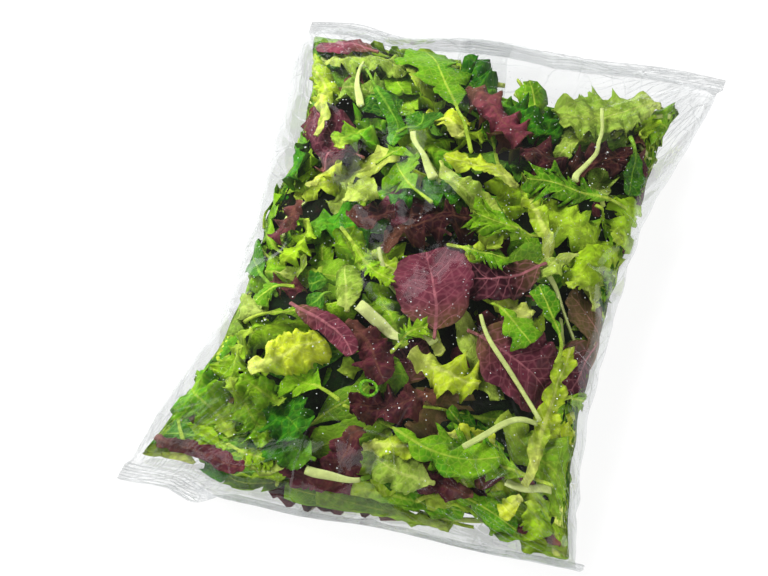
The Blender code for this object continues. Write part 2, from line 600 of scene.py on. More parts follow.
def film_lines(n, broad, fine):
    """Sharp creases as sockets: a web of them, streaks from the corners, and ribs."""
    fan = n.add("ShaderNodeSeparateXYZ", {0: n.attribute("fan").outputs["Vector"]})
    turn, reach, corner = fan.outputs[0], fan.outputs[1], fan.outputs[2]
    loose = n.attribute("loose").outputs["Fac"]
    seal = n.attribute("seal").outputs["Fac"]
    spokes = n.add(
        "ShaderNodeCombineXYZ",
        {0: n.math("MULTIPLY", turn, 7.0), 1: n.math("MULTIPLY", reach, 14.0), 2: corner},
    ).outputs[0]
    streak = n.noise(spokes, 2.2, 1.0, 0.6)
    streak = n.math("ABSOLUTE", n.math("SUBTRACT", streak, 0.5))
    streak = n.math("SUBTRACT", 1.0, n.ramp(streak, 0.0, 0.03))
    near = n.ramp(reach, 0.02, 0.11, 1.0, 0.0)
    streak = n.math("MULTIPLY", streak, near)
    bent = n.add(
        "ShaderNodeMix",
        {0: 0.012, 4: n.attribute("sheet").outputs["Vector"], 5: broad},
        data_type="VECTOR",
    ).outputs[1]
    web = n.add(
        "ShaderNodeTexVoronoi",
        {"Vector": bent, "Scale": 46.0, "Randomness": 1.0},
        voronoi_dimensions="2D",
        feature="DISTANCE_TO_EDGE",
    ).outputs["Distance"]
    web = n.math("SUBTRACT", 1.0, n.ramp(web, 0.0, 0.035))
    web = n.math("MULTIPLY", n.math("MULTIPLY", web, n.ramp(broad, 0.42, 0.6)), loose)
    facet = n.add(
        "ShaderNodeTexVoronoi",
        {"Vector": bent, "Scale": 46.0, "Randomness": 1.0},
        voronoi_dimensions="2D",
    )
    facet = n.add("ShaderNodeSeparateColor", {0: facet.outputs["Color"]}).outputs[0]
    facet = n.math("MULTIPLY", facet, loose)
    ribs = n.math("PINGPONG", n.math("MULTIPLY", seal, 6.0), 0.5)
    ribs = n.math("MULTIPLY", n.ramp(ribs, 0.34, 0.48), n.ramp(seal, 0.02, 0.06))
    ribs = n.math("MULTIPLY", ribs, n.ramp(fine, 0.35, 0.6, 0.4, 1.4))
    lines = n.math("MAXIMUM", n.math("MAXIMUM", streak, web), ribs)
    return lines, facet


def film_material(name="clear_film", bloom_share=0.001, most_shine=0.4, creased=True):
    """Clear thin film: see-through, with a gloss, sharp creases, painted grey shade along the creases, seal
    ribs and facets, and a milky bloom.
    """
    n = Nodes(name)
    place = n.add("ShaderNodeTexCoord").outputs["Object"]
    broad = n.noise(place, 26.0, 2.0, 0.55)
    fine = n.noise(place, 150.0, 1.0, 0.6)
    lines, facet = film_lines(n, broad, fine) if creased else (0.0, 0.0)
    wrinkled = n.add(
        "ShaderNodeTexNoise",
        {"Vector": place, "Scale": 20.0, "Detail": 3.0, "Roughness": 0.62, "Lacunarity": 2.2},
        noise_type="RIDGED_MULTIFRACTAL",
        normalize=True,
    ).outputs["Fac"]
    relief = n.math("ADD", n.math("MULTIPLY", broad, 1.0), n.math("MULTIPLY", fine, 0.22))
    relief = n.math("ADD", relief, n.math("MULTIPLY", wrinkled, 1.3))
    relief = n.math("ADD", relief, n.math("MULTIPLY", lines, 0.5))
    relief = n.math("ADD", relief, n.math("MULTIPLY", facet, 0.5))
    bump = n.add(
        "ShaderNodeBump", {"Strength": 0.7, "Distance": 0.0014, "Height": relief}
    ).outputs["Normal"]
    # Painted shade: the see-through tint is greyed along the creases, corner streaks and seal ribs, and over
    # some facets
    painted_crease_shade = n.math("MULTIPLY_ADD", facet, 0.12, n.math("MULTIPLY", lines, 0.42))
    tint = n.mix(painted_crease_shade, colours().film, (0.68, 0.70, 0.71))
    clear = n.add("ShaderNodeBsdfTransparent", {"Color": tint}).outputs[0]
    gloss = n.add(
        "ShaderNodeBsdfGlossy",
        {"Color": (0.95, 0.96, 0.97), "Roughness": 0.1, "Normal": bump},
    ).outputs[0]
    bloom = n.add(
        "ShaderNodeBsdfDiffuse", {"Color": colours().haze, "Normal": bump}
    ).outputs[0]
    facing = n.add("ShaderNodeFresnel", {"IOR": 1.5, "Normal": bump}).outputs[0]
    shine = n.math("MINIMUM", facing, most_shine)
    milky = n.math("MULTIPLY", n.ramp(broad, 0.5, 0.8), 0.006)
    grazing = n.add("ShaderNodeLayerWeight", {"Blend": 0.3}).outputs["Facing"]
    milky = n.math("ADD", milky, n.math("MULTIPLY", n.math("POWER", grazing, 4.0), 0.3))
    milky = n.math("ADD", milky, n.math("MULTIPLY", lines, 0.03))
    milky = n.math("ADD", milky, bloom_share, clamp=True)
    base = n.add("ShaderNodeMixShader", {0: milky, 1: clear, 2: bloom}).outputs[0]
    return n.surface(n.add("ShaderNodeMixShader", {0: shine, 1: base, 2: gloss}).outputs[0])


class SALAD_OT_film(Operator):
    """Lay the clear film over the bag's shape, with its creases and ribbed seals"""

    bl_idname = "salad.film"
    bl_label = "Film"

    def execute(self, context):
        grid, row_layer, ring_layer = film_grid()
        skin = film_surface()
        crease = 0.08 * MM
        for vertex in grid.verts:
            row = vertex[row_layer]
            ring = vertex[ring_layer]
            above = vertex.co.z > 0
            vertex.co = Vector(skin[row, ring])
            if ring in (0, COLUMNS):
                vertex.co.z += crease if above else -crease
        bmesh.ops.recalc_face_normals(grid, faces=grid.faces)
        places = [(vertex[row_layer], vertex[ring_layer]) for vertex in grid.verts]
        rows, rings = np.array(places).T
        mesh = bpy.data.meshes.new("film")
        grid.to_mesh(mesh)
        grid.free()
        for name, values in film_patterns().items():
            if values.ndim == 3:
                write_attribute(mesh, name, "FLOAT_VECTOR", "vector", values[rows, rings])
            else:
                write_attribute(mesh, name, "FLOAT", "value", values[rows, rings])
        mesh.shade_smooth()
        mesh.materials.append(film_material())
        film = add_object("film", mesh)
        rounded = film.modifiers.new("rounded", "SUBSURF")
        rounded.levels = 1
        rounded.render_levels = 1
        finish_piece(film)
        return {"FINISHED"}


# ---------------------------------------------------------------- the pile of leaves


class Kind(NamedTuple):
    """How one kind of leaf is shaped and coloured. Sizes are in metres."""

    across: int = 12  # quads across a leaf on top; a leaf below has fewer
    along: int = 56
    stalk: float = 0.2  # share of the length that is bare stalk
    peak: float = 0.5  # where the blade is widest, along the blade
    blunt: float = 0.7  # how full the blade's ends are, lower is fuller
    foot: float = 0.0  # width of the blade's cut base, in half widths
    lobes: float = 0.0  # lobes along one side
    cut: float = 0.0  # depth of the cuts between lobes
    sharp: float = 0.0  # 0 for rounded lobes, 1 for pointed ones
    head: float = 1.0  # where the uncut top of a lobed blade starts
    teeth: float = 0.0  # depth of the fine teeth, in half widths
    ragged: float = 0.04  # unevenness of the margin
    tooth: float = 0.005  # length of one fine tooth
    sweep: float = 0.2  # how far the margin leans to the tip
    ruffle: float = 0.05  # height of the margin's waves, in half widths
    wave: float = 0.016  # length of one wave
    crumple: float = 0.0006  # height of the blade's blisters
    billow: float = 0.0022  # height of the blade's broad folds
    fold: float = 25.0  # how far the sides fold up or down, in degrees
    rib: float = 0.0011  # half width of the midrib at the base
    rib_tall: float = 0.0016  # thickness of the stalk
    deep: str = "#2F6A24"  # colour of a dark leaf
    light: str = "#7DB84A"  # colour of a light leaf
    blotch: str = "#2F6A24"  # colour of patches on the blade
    blotched: float = 0.3  # how much of the blade the patches take
    rib_tone: str = "#B8CC80"
    foot_tone: str = ""  # colour of the blade near its base, if not the rib's
    rib_paint: float = 0.85  # how clearly the midrib shows
    vein: float = 0.22  # strength of the side veins
    net: float = 320.0  # cells of the leaf's net, per metre
    relief: float = 0.5
    # This setting scales both the bump depth of the blisters' hollows and the painted shade that darkens the
    # blade in them
    hollow_depth_and_shade: float = 1.0  # how deep and dark the hollows between blisters are
    rough: float = 0.42


KINDS = {
    "rocket": Kind(
        stalk=0.34, peak=0.62, blunt=0.55, lobes=3.4, cut=0.74, head=0.62, sweep=0.4,
        hollow_depth_and_shade=0.6, ruffle=0.12, fold=22, deep="#2C7A08", light="#90C41C", blotch="#3C8A10",
        rib_tone="#B8D048",
    ),
    "mizuna": Kind(
        across=12, along=80, stalk=0.2, peak=0.6, blunt=0.6, lobes=6.5, cut=0.72, sharp=1.0,
        sweep=0.7, ruffle=0.22, wave=0.015, fold=30, deep="#327E08", light="#9CC81C",
        blotch="#4C9814", rib_tone="#C0D450",
    ),
    "frill": Kind(
        across=14, along=80, stalk=0.0, peak=0.64, blunt=0.42, foot=0.3, lobes=4.6,
        cut=0.3, sharp=0.1, teeth=0.2, tooth=0.0034, sweep=0.1, ruffle=0.55, wave=0.012,
        crumple=0.0020, billow=0.0045, fold=36, deep="#368608", light="#ACD022",
        blotch="#4E9A14", rib_tone="#BCD04C", rib_paint=0.5, net=230.0,
    ),
    "crinkle": Kind(
        across=14, along=76, stalk=0.06, peak=0.5, blunt=0.42, lobes=4.0, cut=0.22,
        sharp=0.1, teeth=0.16, tooth=0.004, ruffle=0.4, wave=0.012, crumple=0.0022,
        billow=0.004, fold=32, deep="#16560A", light="#4A9A1C", blotch="#24700E",
        rib_tone="#7CAE28", rib_paint=0.45, net=220.0, relief=0.8,
    ),
    "spoon": Kind(
        along=48, stalk=0.3, peak=0.55, blunt=0.5, ruffle=0.07, crumple=0.0010,
        fold=34, deep="#1C520C", light="#4E921C", blotch="#286810",
        rib_tone="#8CB838", vein=0.35, rough=0.36,
    ),
    "chard": Kind(
        across=14, along=60, stalk=0.1, peak=0.52, blunt=0.34, ragged=0.015, ruffle=0.05,
        crumple=0.0014, fold=16, deep="#2A0E18", light="#863C4E", blotch="#54222C",
        blotched=0.15, rib_tone="#B06C74", foot_tone="#66641E", vein=0.55, net=200.0, hollow_depth_and_shade=0.5, rough=0.36,
    ),
    "maroon": Kind(
        across=14, along=80, stalk=0.0, peak=0.6, blunt=0.4, foot=0.3, lobes=3.6,
        cut=0.22, sharp=0.1, teeth=0.14, ruffle=0.46, wave=0.013, crumple=0.0020,
        billow=0.0045, fold=36, deep="#1C080C", light="#7C3846", blotch="#3A2E14",
        blotched=0.25, rib_tone="#845844", rib_paint=0.4, vein=0.2, net=230.0,
    ),
    "lime": Kind(
        across=14, along=76, stalk=0.0, peak=0.62, blunt=0.42, foot=0.36, lobes=3.2,
        cut=0.08, sharp=0.1, teeth=0.12, ruffle=0.36, wave=0.013, crumple=0.0021,
        billow=0.004, fold=32, deep="#74A814", light="#D4E034", blotch="#9CC026",
        rib_tone="#DEE47C", rib_paint=0.6, rib=0.0020, net=210.0,
    ),
    "sage": Kind(
        stalk=0.06, peak=0.56, blunt=0.45, foot=0.15, lobes=3.0, cut=0.12, teeth=0.1,
        ruffle=0.26, crumple=0.0016, billow=0.004, fold=32, deep="#5E9424",
        light="#B4C84C", blotch="#84AC34", rib_tone="#C8D470", rib_paint=0.6, vein=0.3,
        rough=0.5,
    ),
    "stalk": Kind(
        hollow_depth_and_shade=0.3, across=8, along=30, stalk=1.0, rib=0.0022, rib_tall=0.0022, billow=0.003,
        deep="#9CBC40", light="#DEE4A0", blotch="#B8CE58", rib_tone="#D4E08C",
        relief=0.3,
    ),
}

# Leaves laid one by one, top-most first: kind, base, tip, width (all in mm), and a
# shade from 0, deep, to 9, light
PLACED = (
    ("stalk", (90, -110), (45, -60), 3, 5),
    ("mizuna", (15, -20), (50, -20), 22, 4),
    ("mizuna", (5, -95), (20, -75), 16, 6),
    ("mizuna", (-45, -20), (-5, -50), 14, 8),
    ("stalk", (55, -135), (90, -110), 4, 6),
    ("rocket", (10, 50), (-45, 145), 36, 4),
    ("stalk", (70, 45), (70, 110), 4, 5),
    ("stalk", (-5, 25), (-25, 55), 6, 6),
    ("spoon", (-35, 55), (-25, 75), 26, 4),
    ("chard", (25, -80), (5, -25), 44, 5),
    ("stalk", (25, -80), (-20, -30), 5, 8),
    ("lime", (30, -85), (-25, -30), 16, 3),
    ("chard", (70, -15), (25, -40), 27, 1),
    ("rocket", (90, -75), (70, -30), 14, 2),
    ("rocket", (40, -45), (75, -70), 20, 5),
    ("lime", (90, -145), (95, -60), 14, 5),
    ("chard", (40, -70), (95, -90), 45, 4),
    ("mizuna", (100, -90), (110, -80), 15, 7),
    ("chard", (105, -45), (105, -85), 49, 2),
    ("sage", (85, 0), (65, -25), 16, 7),
    ("chard", (-60, -70), (-15, -100), 13, 5),
    ("maroon", (-25, -80), (5, -110), 21, 4),
    ("lime", (-70, -115), (-35, -90), 28, 9),
    ("sage", (-25, -75), (-35, -45), 21, 4),
    ("stalk", (-20, -70), (10, -85), 6, 9),
    ("stalk", (-65, 80), (-75, 120), 4, 7),
    ("lime", (15, -90), (55, -100), 27, 6),
    ("frill", (10, -85), (-15, -50), 23, 4),
    ("maroon", (35, -105), (-10, -125), 24, 3),
    ("rocket", (-15, -125), (-50, -110), 27, 8),
    ("rocket", (-15, -125), (75, -135), 21, 6),
    ("sage", (100, 130), (50, 95), 46, 5),
    ("spoon", (90, 95), (100, 55), 17, 4),
    ("mizuna", (100, 45), (45, 40), 29, 2),
    ("lime", (75, -10), (40, 45), 10, 4),
    ("mizuna", (65, 10), (25, 5), 32, 4),
    ("maroon", (-10, 105), (35, 70), 27, 9),
    ("spoon", (-75, 120), (-35, 45), 11, 7),
    ("spoon", (-30, 75), (-65, 90), 30, 1),
    ("lime", (-85, 55), (-120, 135), 18, 4),
    ("rocket", (-40, 30), (-30, 45), 15, 5),
    ("lime", (0, 60), (-25, 80), 23, 8),
    ("lime", (40, 35), (-5, 45), 18, 6),
    ("sage", (-5, 40), (40, 15), 16, 8),
    ("rocket", (0, 5), (-30, 35), 26, 6),
    ("frill", (-65, 40), (-60, 75), 32, 3),
    ("lime", (-75, 10), (-60, 30), 14, 7),
    ("sage", (-50, 0), (-35, 15), 20, 8),
    ("chard", (-75, 25), (-70, 45), 19, 3),
    ("chard", (-70, 135), (-115, 145), 22, 8),
    ("sage", (-105, 125), (-50, 125), 27, 5),
    ("sage", (-95, 95), (-55, 100), 27, 3),
    ("crinkle", (10, 100), (-25, 130), 32, 2),
    ("crinkle", (0, 110), (40, 80), 29, 3),
    ("maroon", (15, 85), (60, 50), 28, 2),
    ("maroon", (55, 50), (95, 85), 27, 1),
    ("maroon", (-45, -10), (-20, 0), 20, 2),
    ("maroon", (-20, -25), (25, 5), 25, 1),
    ("frill", (-25, -40), (-45, -20), 19, 5),
    ("crinkle", (70, 105), (85, 125), 14, 3),
    ("crinkle", (45, 75), (45, 105), 19, 4),
    ("sage", (70, 95), (55, 70), 14, 6),
    ("frill", (95, 100), (100, 120), 15, 7),
    ("frill", (100, 20), (105, 55), 32, 7),
    ("mizuna", (85, 35), (105, 30), 24, 6),
    ("frill", (85, -25), (95, 10), 23, 8),
    ("sage", (100, -30), (100, 5), 22, 8),
    ("maroon", (65, -35), (80, -45), 13, 6),
    ("spoon", (-40, -60), (-50, -70), 17, 3),
    ("spoon", (-40, -50), (-55, -55), 11, 5),
    ("rocket", (-60, -60), (-80, -70), 14, 3),
    ("spoon", (-70, -65), (-110, -15), 18, 4),
    ("maroon", (-80, -55), (-55, -60), 12, 5),
    ("maroon", (-75, 0), (-85, -25), 19, 6),
    ("frill", (-70, -10), (-70, -45), 20, 7),
    ("sage", (-75, -50), (-60, -40), 12, 6),
    ("frill", (-45, -130), (-75, -120), 19, 4),
    ("crinkle", (-60, -115), (-30, -145), 30, 4),
    ("frill", (-80, -120), (-50, -150), 28, 3),
    ("frill", (-75, -150), (-105, -115), 34, 3),
    ("crinkle", (-20, -155), (-65, -140), 30, 5),
    ("mizuna", (-75, -155), (-45, -160), 18, 8),
    ("sage", (-35, -160), (-60, -150), 27, 7),
    ("maroon", (-115, -155), (-60, -165), 14, 5),
    ("stalk", (-25, -160), (5, -160), 4, 7),
    ("maroon", (-5, -135), (-10, -160), 24, 3),
    ("maroon", (0, -160), (-40, -160), 19, 4),
    ("lime", (0, -145), (35, -140), 14, 4),
    ("sage", (45, -155), (10, -150), 20, 5),
    ("spoon", (5, -160), (25, -155), 20, 2),
    ("mizuna", (105, -140), (40, -140), 34, 4),
    ("stalk", (105, -140), (80, -145), 7, 8),
    ("lime", (40, -130), (70, -125), 13, 8),
    ("lime", (90, -150), (80, -160), 11, 8),
    ("frill", (95, -150), (105, -165), 22, 6),
    ("maroon", (65, -155), (35, -155), 15, 4),
    ("rocket", (15, -160), (90, -165), 14, 3),
    ("maroon", (80, -160), (60, -155), 11, 1),
    ("maroon", (115, -165), (90, -165), 10, 6),
    ("frill", (-80, -100), (-90, -125), 28, 5),
    ("frill", (-75, -90), (-95, -105), 25, 5),
)

# What the rest of the pile is made of: kind, share, lengths and widths in mm
MIX = (
    ("rocket", 15, (70, 105), (24, 36)),
    ("mizuna", 15, (60, 95), (22, 34)),
    ("frill", 24, (55, 85), (30, 46)),
    ("crinkle", 10, (50, 75), (26, 40)),
    ("spoon", 9, (50, 80), (20, 30)),
    ("chard", 4, (50, 75), (24, 38)),
    ("maroon", 8, (50, 80), (26, 40)),
    ("lime", 8, (50, 80), (22, 34)),
    ("sage", 9, (45, 75), (22, 32)),
    ("stalk", 5, (35, 60), (3, 5)),
)

# The cut ring of green onion on top of the pile
RING_PLACE = (-2 * MM, -116 * MM)
RING_SIZE = 10.5 * MM
RING_HEIGHT = 3.6 * MM
RING_WALL = 1.5 * MM

TOP_FILL = 340
UNDER_FILL = 110
CANDIDATES = 16


def tone(code):
    """A colour written as a hex code, in linear red, green and blue."""
    parts = [int(code[start : start + 2], 16) / 255.0 for start in (1, 3, 5)]
    return tuple(((p + 0.055) / 1.055) ** 2.4 if p > 0.04 else p / 12.92 for p in parts)


def sample(grid, row, ring):
    """A grid's values between its places, closed round the bag."""
    row = np.clip(row, 0.0, grid.shape[0] - 1.001)
    ring = np.mod(ring, grid.shape[1])
    low_row = row.astype(int)
    low_ring = ring.astype(int) % grid.shape[1]
    next_ring = (low_ring + 1) % grid.shape[1]
    part_row = row - low_row
    part_ring = ring - np.floor(ring)
    if grid.ndim == 3:
        part_row = part_row[..., None]
        part_ring = part_ring[..., None]
    low = grid[low_row, low_ring] * (1 - part_ring) + grid[low_row, next_ring] * part_ring
    next_row = low_row + 1
    high = grid[next_row, low_ring] * (1 - part_ring) + grid[next_row, next_ring] * part_ring
    return low * (1 - part_row) + high * part_row


def leafy_end(x):
    """How far up the bag the leaves reach. The space above them is clear."""
    return 0.156 - 0.034 * smooth_step(-0.06, 0.04, x) + 0.014 * smooth_step(0.06, 0.1, x)


def row_lines(skin):
    """The rows' places along the bag, running on past the ends of the body."""
    lines = skin[:, : COLUMNS + 1, 1].mean(axis=1)
    step = sizes().seal_depth / SEAL_ROWS
    lines[:SEAL_ROWS] = lines[SEAL_ROWS] - step * np.arange(SEAL_ROWS, 0, -1)
    return lines


class Pile:
    """The pile under the film: its shape, and how deep the leaves laid so far reach."""

    def __init__(self):
        mean = mean_surface()
        self.skin = self.drawn_in(mean)
        self.normals = surface_normals(blur_skin(self.skin, 2.0, 2.0))
        other = self.skin[:, mirror_places()]
        tall = np.abs(self.skin[:, :, 2] - other[:, :, 2])
        self.limit = np.maximum(0.5 * blur_skin(tall, 1.5, 1.5) - 0.6 * MM, 0.3 * MM)
        self.rows = row_lines(self.skin)
        steps = np.linalg.norm(np.diff(self.skin, axis=0), axis=2).mean(axis=1)
        self.along = np.concatenate([[0.0], np.cumsum(steps)])
        around = np.linalg.norm(np.roll(self.skin, -1, axis=1) - self.skin, axis=2)
        self.cell = blur(around.mean(axis=1)[:, None], 3.0, 0, False)[:, 0]
        self.close = self.film_clearance(mean)
        self.under = self.close.copy()
        self.cover = np.zeros_like(self.close)
        self.room = self.leafy_room()

    def drawn_in(self, mean):
        """The mean surface, drawn in at the left where the leaves stop short."""
        rows = mean[:, :, 1].mean(axis=1)
        upper = smooth_step(0.0, 0.06, rows) * (1 - smooth_step(0.10, 0.16, rows))
        inset = (1.5 + 7.5 * upper) * MM
        corner = (1 + 10 * smooth_step(0.05, 0.12, rows)) * MM
        ring = np.arange(RING)
        from_left = np.minimum(ring, RING - ring)
        from_right = np.abs(ring - COLUMNS)
        left = 1 - smooth_step(0, 22, from_left)
        right = 1 - smooth_step(0, 18, from_right)
        skin = mean.copy()
        skin[:, :, 0] += inset[:, None] * left[None, :] - corner[:, None] * right[None, :]
        return skin

    def film_clearance(self, mean):
        """How deep the film's creases reach into the pile, and a little more."""
        stray = film_surface() - mean
        inward = -(stray * surface_normals(mean)).sum(axis=2)
        return np.maximum(blur_skin(np.maximum(inward, 0.0), 1.0, 1.0) * 1.4, 0.0) + 0.5 * MM

    def leafy_room(self):
        """1 where leaves lie and 0 in the clear space at the ends of the bag."""
        x = self.skin[:, :, 0]
        y = self.skin[:, :, 1]
        top = leafy_end(x)
        bottom = -0.170 + 0.015 * smooth_step(0.06, 0.12, -x)
        return ((y < top) & (y > bottom)).astype(float)

    def spot(self, u, v):
        """Grid place of a point u across from the middle line and v along.

        A leaf that runs past the end of the bag is pressed together there.
        """
        row = np.interp(v, self.along, np.arange(ROWS + 1))
        lowest = SEAL_ROWS + 1.5
        highest = ROWS - SEAL_ROWS - 1.5
        row = np.where(row < lowest, lowest - 0.12 * (lowest - row), row)
        row = np.where(row > highest, highest + 0.12 * (row - highest), row)
        ring = COLUMNS / 2 + u / np.interp(row, np.arange(ROWS + 1), self.cell)
        return row, ring

    def place_of(self, x, y):
        """The (u, v) of the bag's upper side over a point of the floor."""
        row = float(np.interp(y, self.rows, np.arange(ROWS + 1)))
        line = self.skin[int(round(row)), : COLUMNS + 1, 0]
        ring = float(np.interp(x, line, np.arange(COLUMNS + 1)))
        cell = np.interp(row, np.arange(ROWS + 1), self.cell)
        return (ring - COLUMNS / 2) * cell, np.interp(row, np.arange(ROWS + 1), self.along)

    def point(self, row, ring, depth):
        """The point at a depth under the bag's surface."""
        limit = sample(self.limit, row, ring)
        held = depth / (1 + (depth / limit) ** 3) ** (1 / 3)
        base = sample(self.skin, row, ring)
        point = base - sample(self.normals, row, ring) * held[..., None]
        point[..., 2] = np.maximum(point[..., 2], 0.6 * MM)
        return point

    def lay(self, row, ring, depth):
        """Marks the cells that a leaf covers, and how deep it reaches there."""
        rows = np.clip(np.rint(row).astype(int), 0, ROWS)
        rings = np.rint(ring).astype(int) % RING
        np.maximum.at(self.under, (rows, rings), depth)
        covered = np.zeros_like(self.cover)
        covered[rows, rings] = 1.0
        self.cover += covered


@lru_cache(maxsize=None)
def leaf_blank(across, along):
    """A flat plate of quads with two sheets and a rim, which every leaf starts as."""
    blank = bmesh.new()
    bmesh.ops.create_grid(blank, x_segments=across, y_segments=along, size=1.0)
    bmesh.ops.solidify(blank, geom=blank.faces[:], thickness=0.1)
    bmesh.ops.recalc_face_normals(blank, faces=blank.faces)
    for face in blank.faces:
        face.smooth = True
    mesh = bpy.data.meshes.new(f"blank_{across}_{along}")
    blank.to_mesh(mesh)
    blank.free()
    points = np.zeros(len(mesh.vertices) * 3)
    mesh.vertices.foreach_get("co", points)
    points = points.reshape(-1, 3)
    column = np.rint((points[:, 0] + 1) / 2 * across).astype(int)
    line = np.rint((points[:, 1] + 1) / 2 * along).astype(int)
    outer = points[:, 2] > points[:, 2].mean()
    return mesh, line, column, outer


def waves(rng, across, along, shortest, longest, count=7, crest=0.0):
    """A sum of plane waves, with a height of about 1. crest gives them sharp tops."""
    total = np.zeros_like(across)
    for _ in range(count):
        angle = rng.uniform(0, pi)
        length = rng.uniform(shortest, longest)
        phase = rng.uniform(0, 2 * pi)
        step = across * cos(angle) + along * sin(angle)
        turn = 2 * pi * step / length + phase
        total += (1 - crest) * np.sin(turn) + crest * (1.3 - 2 * np.abs(np.sin(turn / 2)))
    return total * (2.0 / count) ** 0.5 * 0.7


def uneven(rng, turn, low, high):
    """A size of its own for each lobe or tooth."""
    number = np.floor(turn - turn.min()).astype(int)
    return rng.uniform(low, high, number.max() + 1)[number]


def half_widths(kind, rng, length, s, hand):
    """One side of a leaf's outline, as a half width from 0 to 1 along the leaf."""
    blade = np.clip((s - kind.stalk) / max(1 - kind.stalk, 1e-6), 0.0, 1.0)
    turn = np.log(0.5) / np.log(kind.peak)
    outline = np.sin(pi * blade**turn) ** kind.blunt
    outline = np.maximum(outline, kind.foot * smooth_step(0.0, 0.02, 0.5 - blade))
    wander = rng.uniform(-3, 3, 3) * kind.ragged
    for order, size in enumerate(wander, start=1):
        outline = outline * (1 + size * np.sin(order * 2.3 * pi * blade + hand + order))
    if kind.lobes:
        shift = rng.uniform(0.0, 0.5)
        warp = 0.06 * np.sin(rng.uniform(4, 9) * blade + rng.uniform(0, 6))
        phase = kind.lobes * rng.uniform(0.85, 1.15) * (blade + warp) + shift
        rounded = np.abs(np.sin(pi * phase)) ** 0.6
        pointed = np.mod(phase, 1.0) ** 1.3
        lobe = rounded * (1 - kind.sharp) + pointed * kind.sharp
        cut = kind.cut * (1 - smooth_step(kind.head - 0.1, kind.head + 0.1, blade))
        cut = cut * uneven(rng, phase, 0.6, 1.15)
        outline = outline * (1 - cut * (1 - lobe))
    if kind.teeth:
        turn = s * length / (kind.tooth * rng.uniform(0.85, 1.2))
        turn = turn + 0.5 * np.sin(0.9 * turn + rng.uniform(0, 6))
        tooth = np.mod(turn, 1.0)
        outline = outline * (1 - kind.teeth * uneven(rng, turn, 0.2, 1.5) * (1 - tooth))
    ragged = blur(rng.normal(0.0, 1.0, (len(s), 1)), 0.9, 0, False)[:, 0]
    return np.clip(outline * (1 + 1.6 * kind.ragged * ragged), 0.0, 1.15)


def centre_line(rng, s, bend):
    """A gently bent line from (0, 0) to (0, 1), with its unit directions."""
    angle = bend * (s - 0.5) + 0.3 * bend * np.sin(2 * pi * s + rng.uniform(0, 6))
    ahead = np.stack([np.sin(angle), np.cos(angle)], axis=1)
    steps = np.diff(s)[:, None] * (ahead[1:] + ahead[:-1]) / 2
    line = np.concatenate([[[0.0, 0.0]], np.cumsum(steps, axis=0)])
    chord = line[-1]
    reach = hypot(*chord)
    turn = np.array([[chord[1], -chord[0]], [chord[0], chord[1]]]) / reach**2
    line = line @ turn.T
    ahead = ahead @ turn.T
    return line, ahead / np.linalg.norm(ahead, axis=1, keepdims=True)


def leaf_quads(kind, on_top):
    """How many quads a leaf has across and along."""
    if on_top:
        return kind.across, kind.along
    return 6, round(kind.along * 0.36)


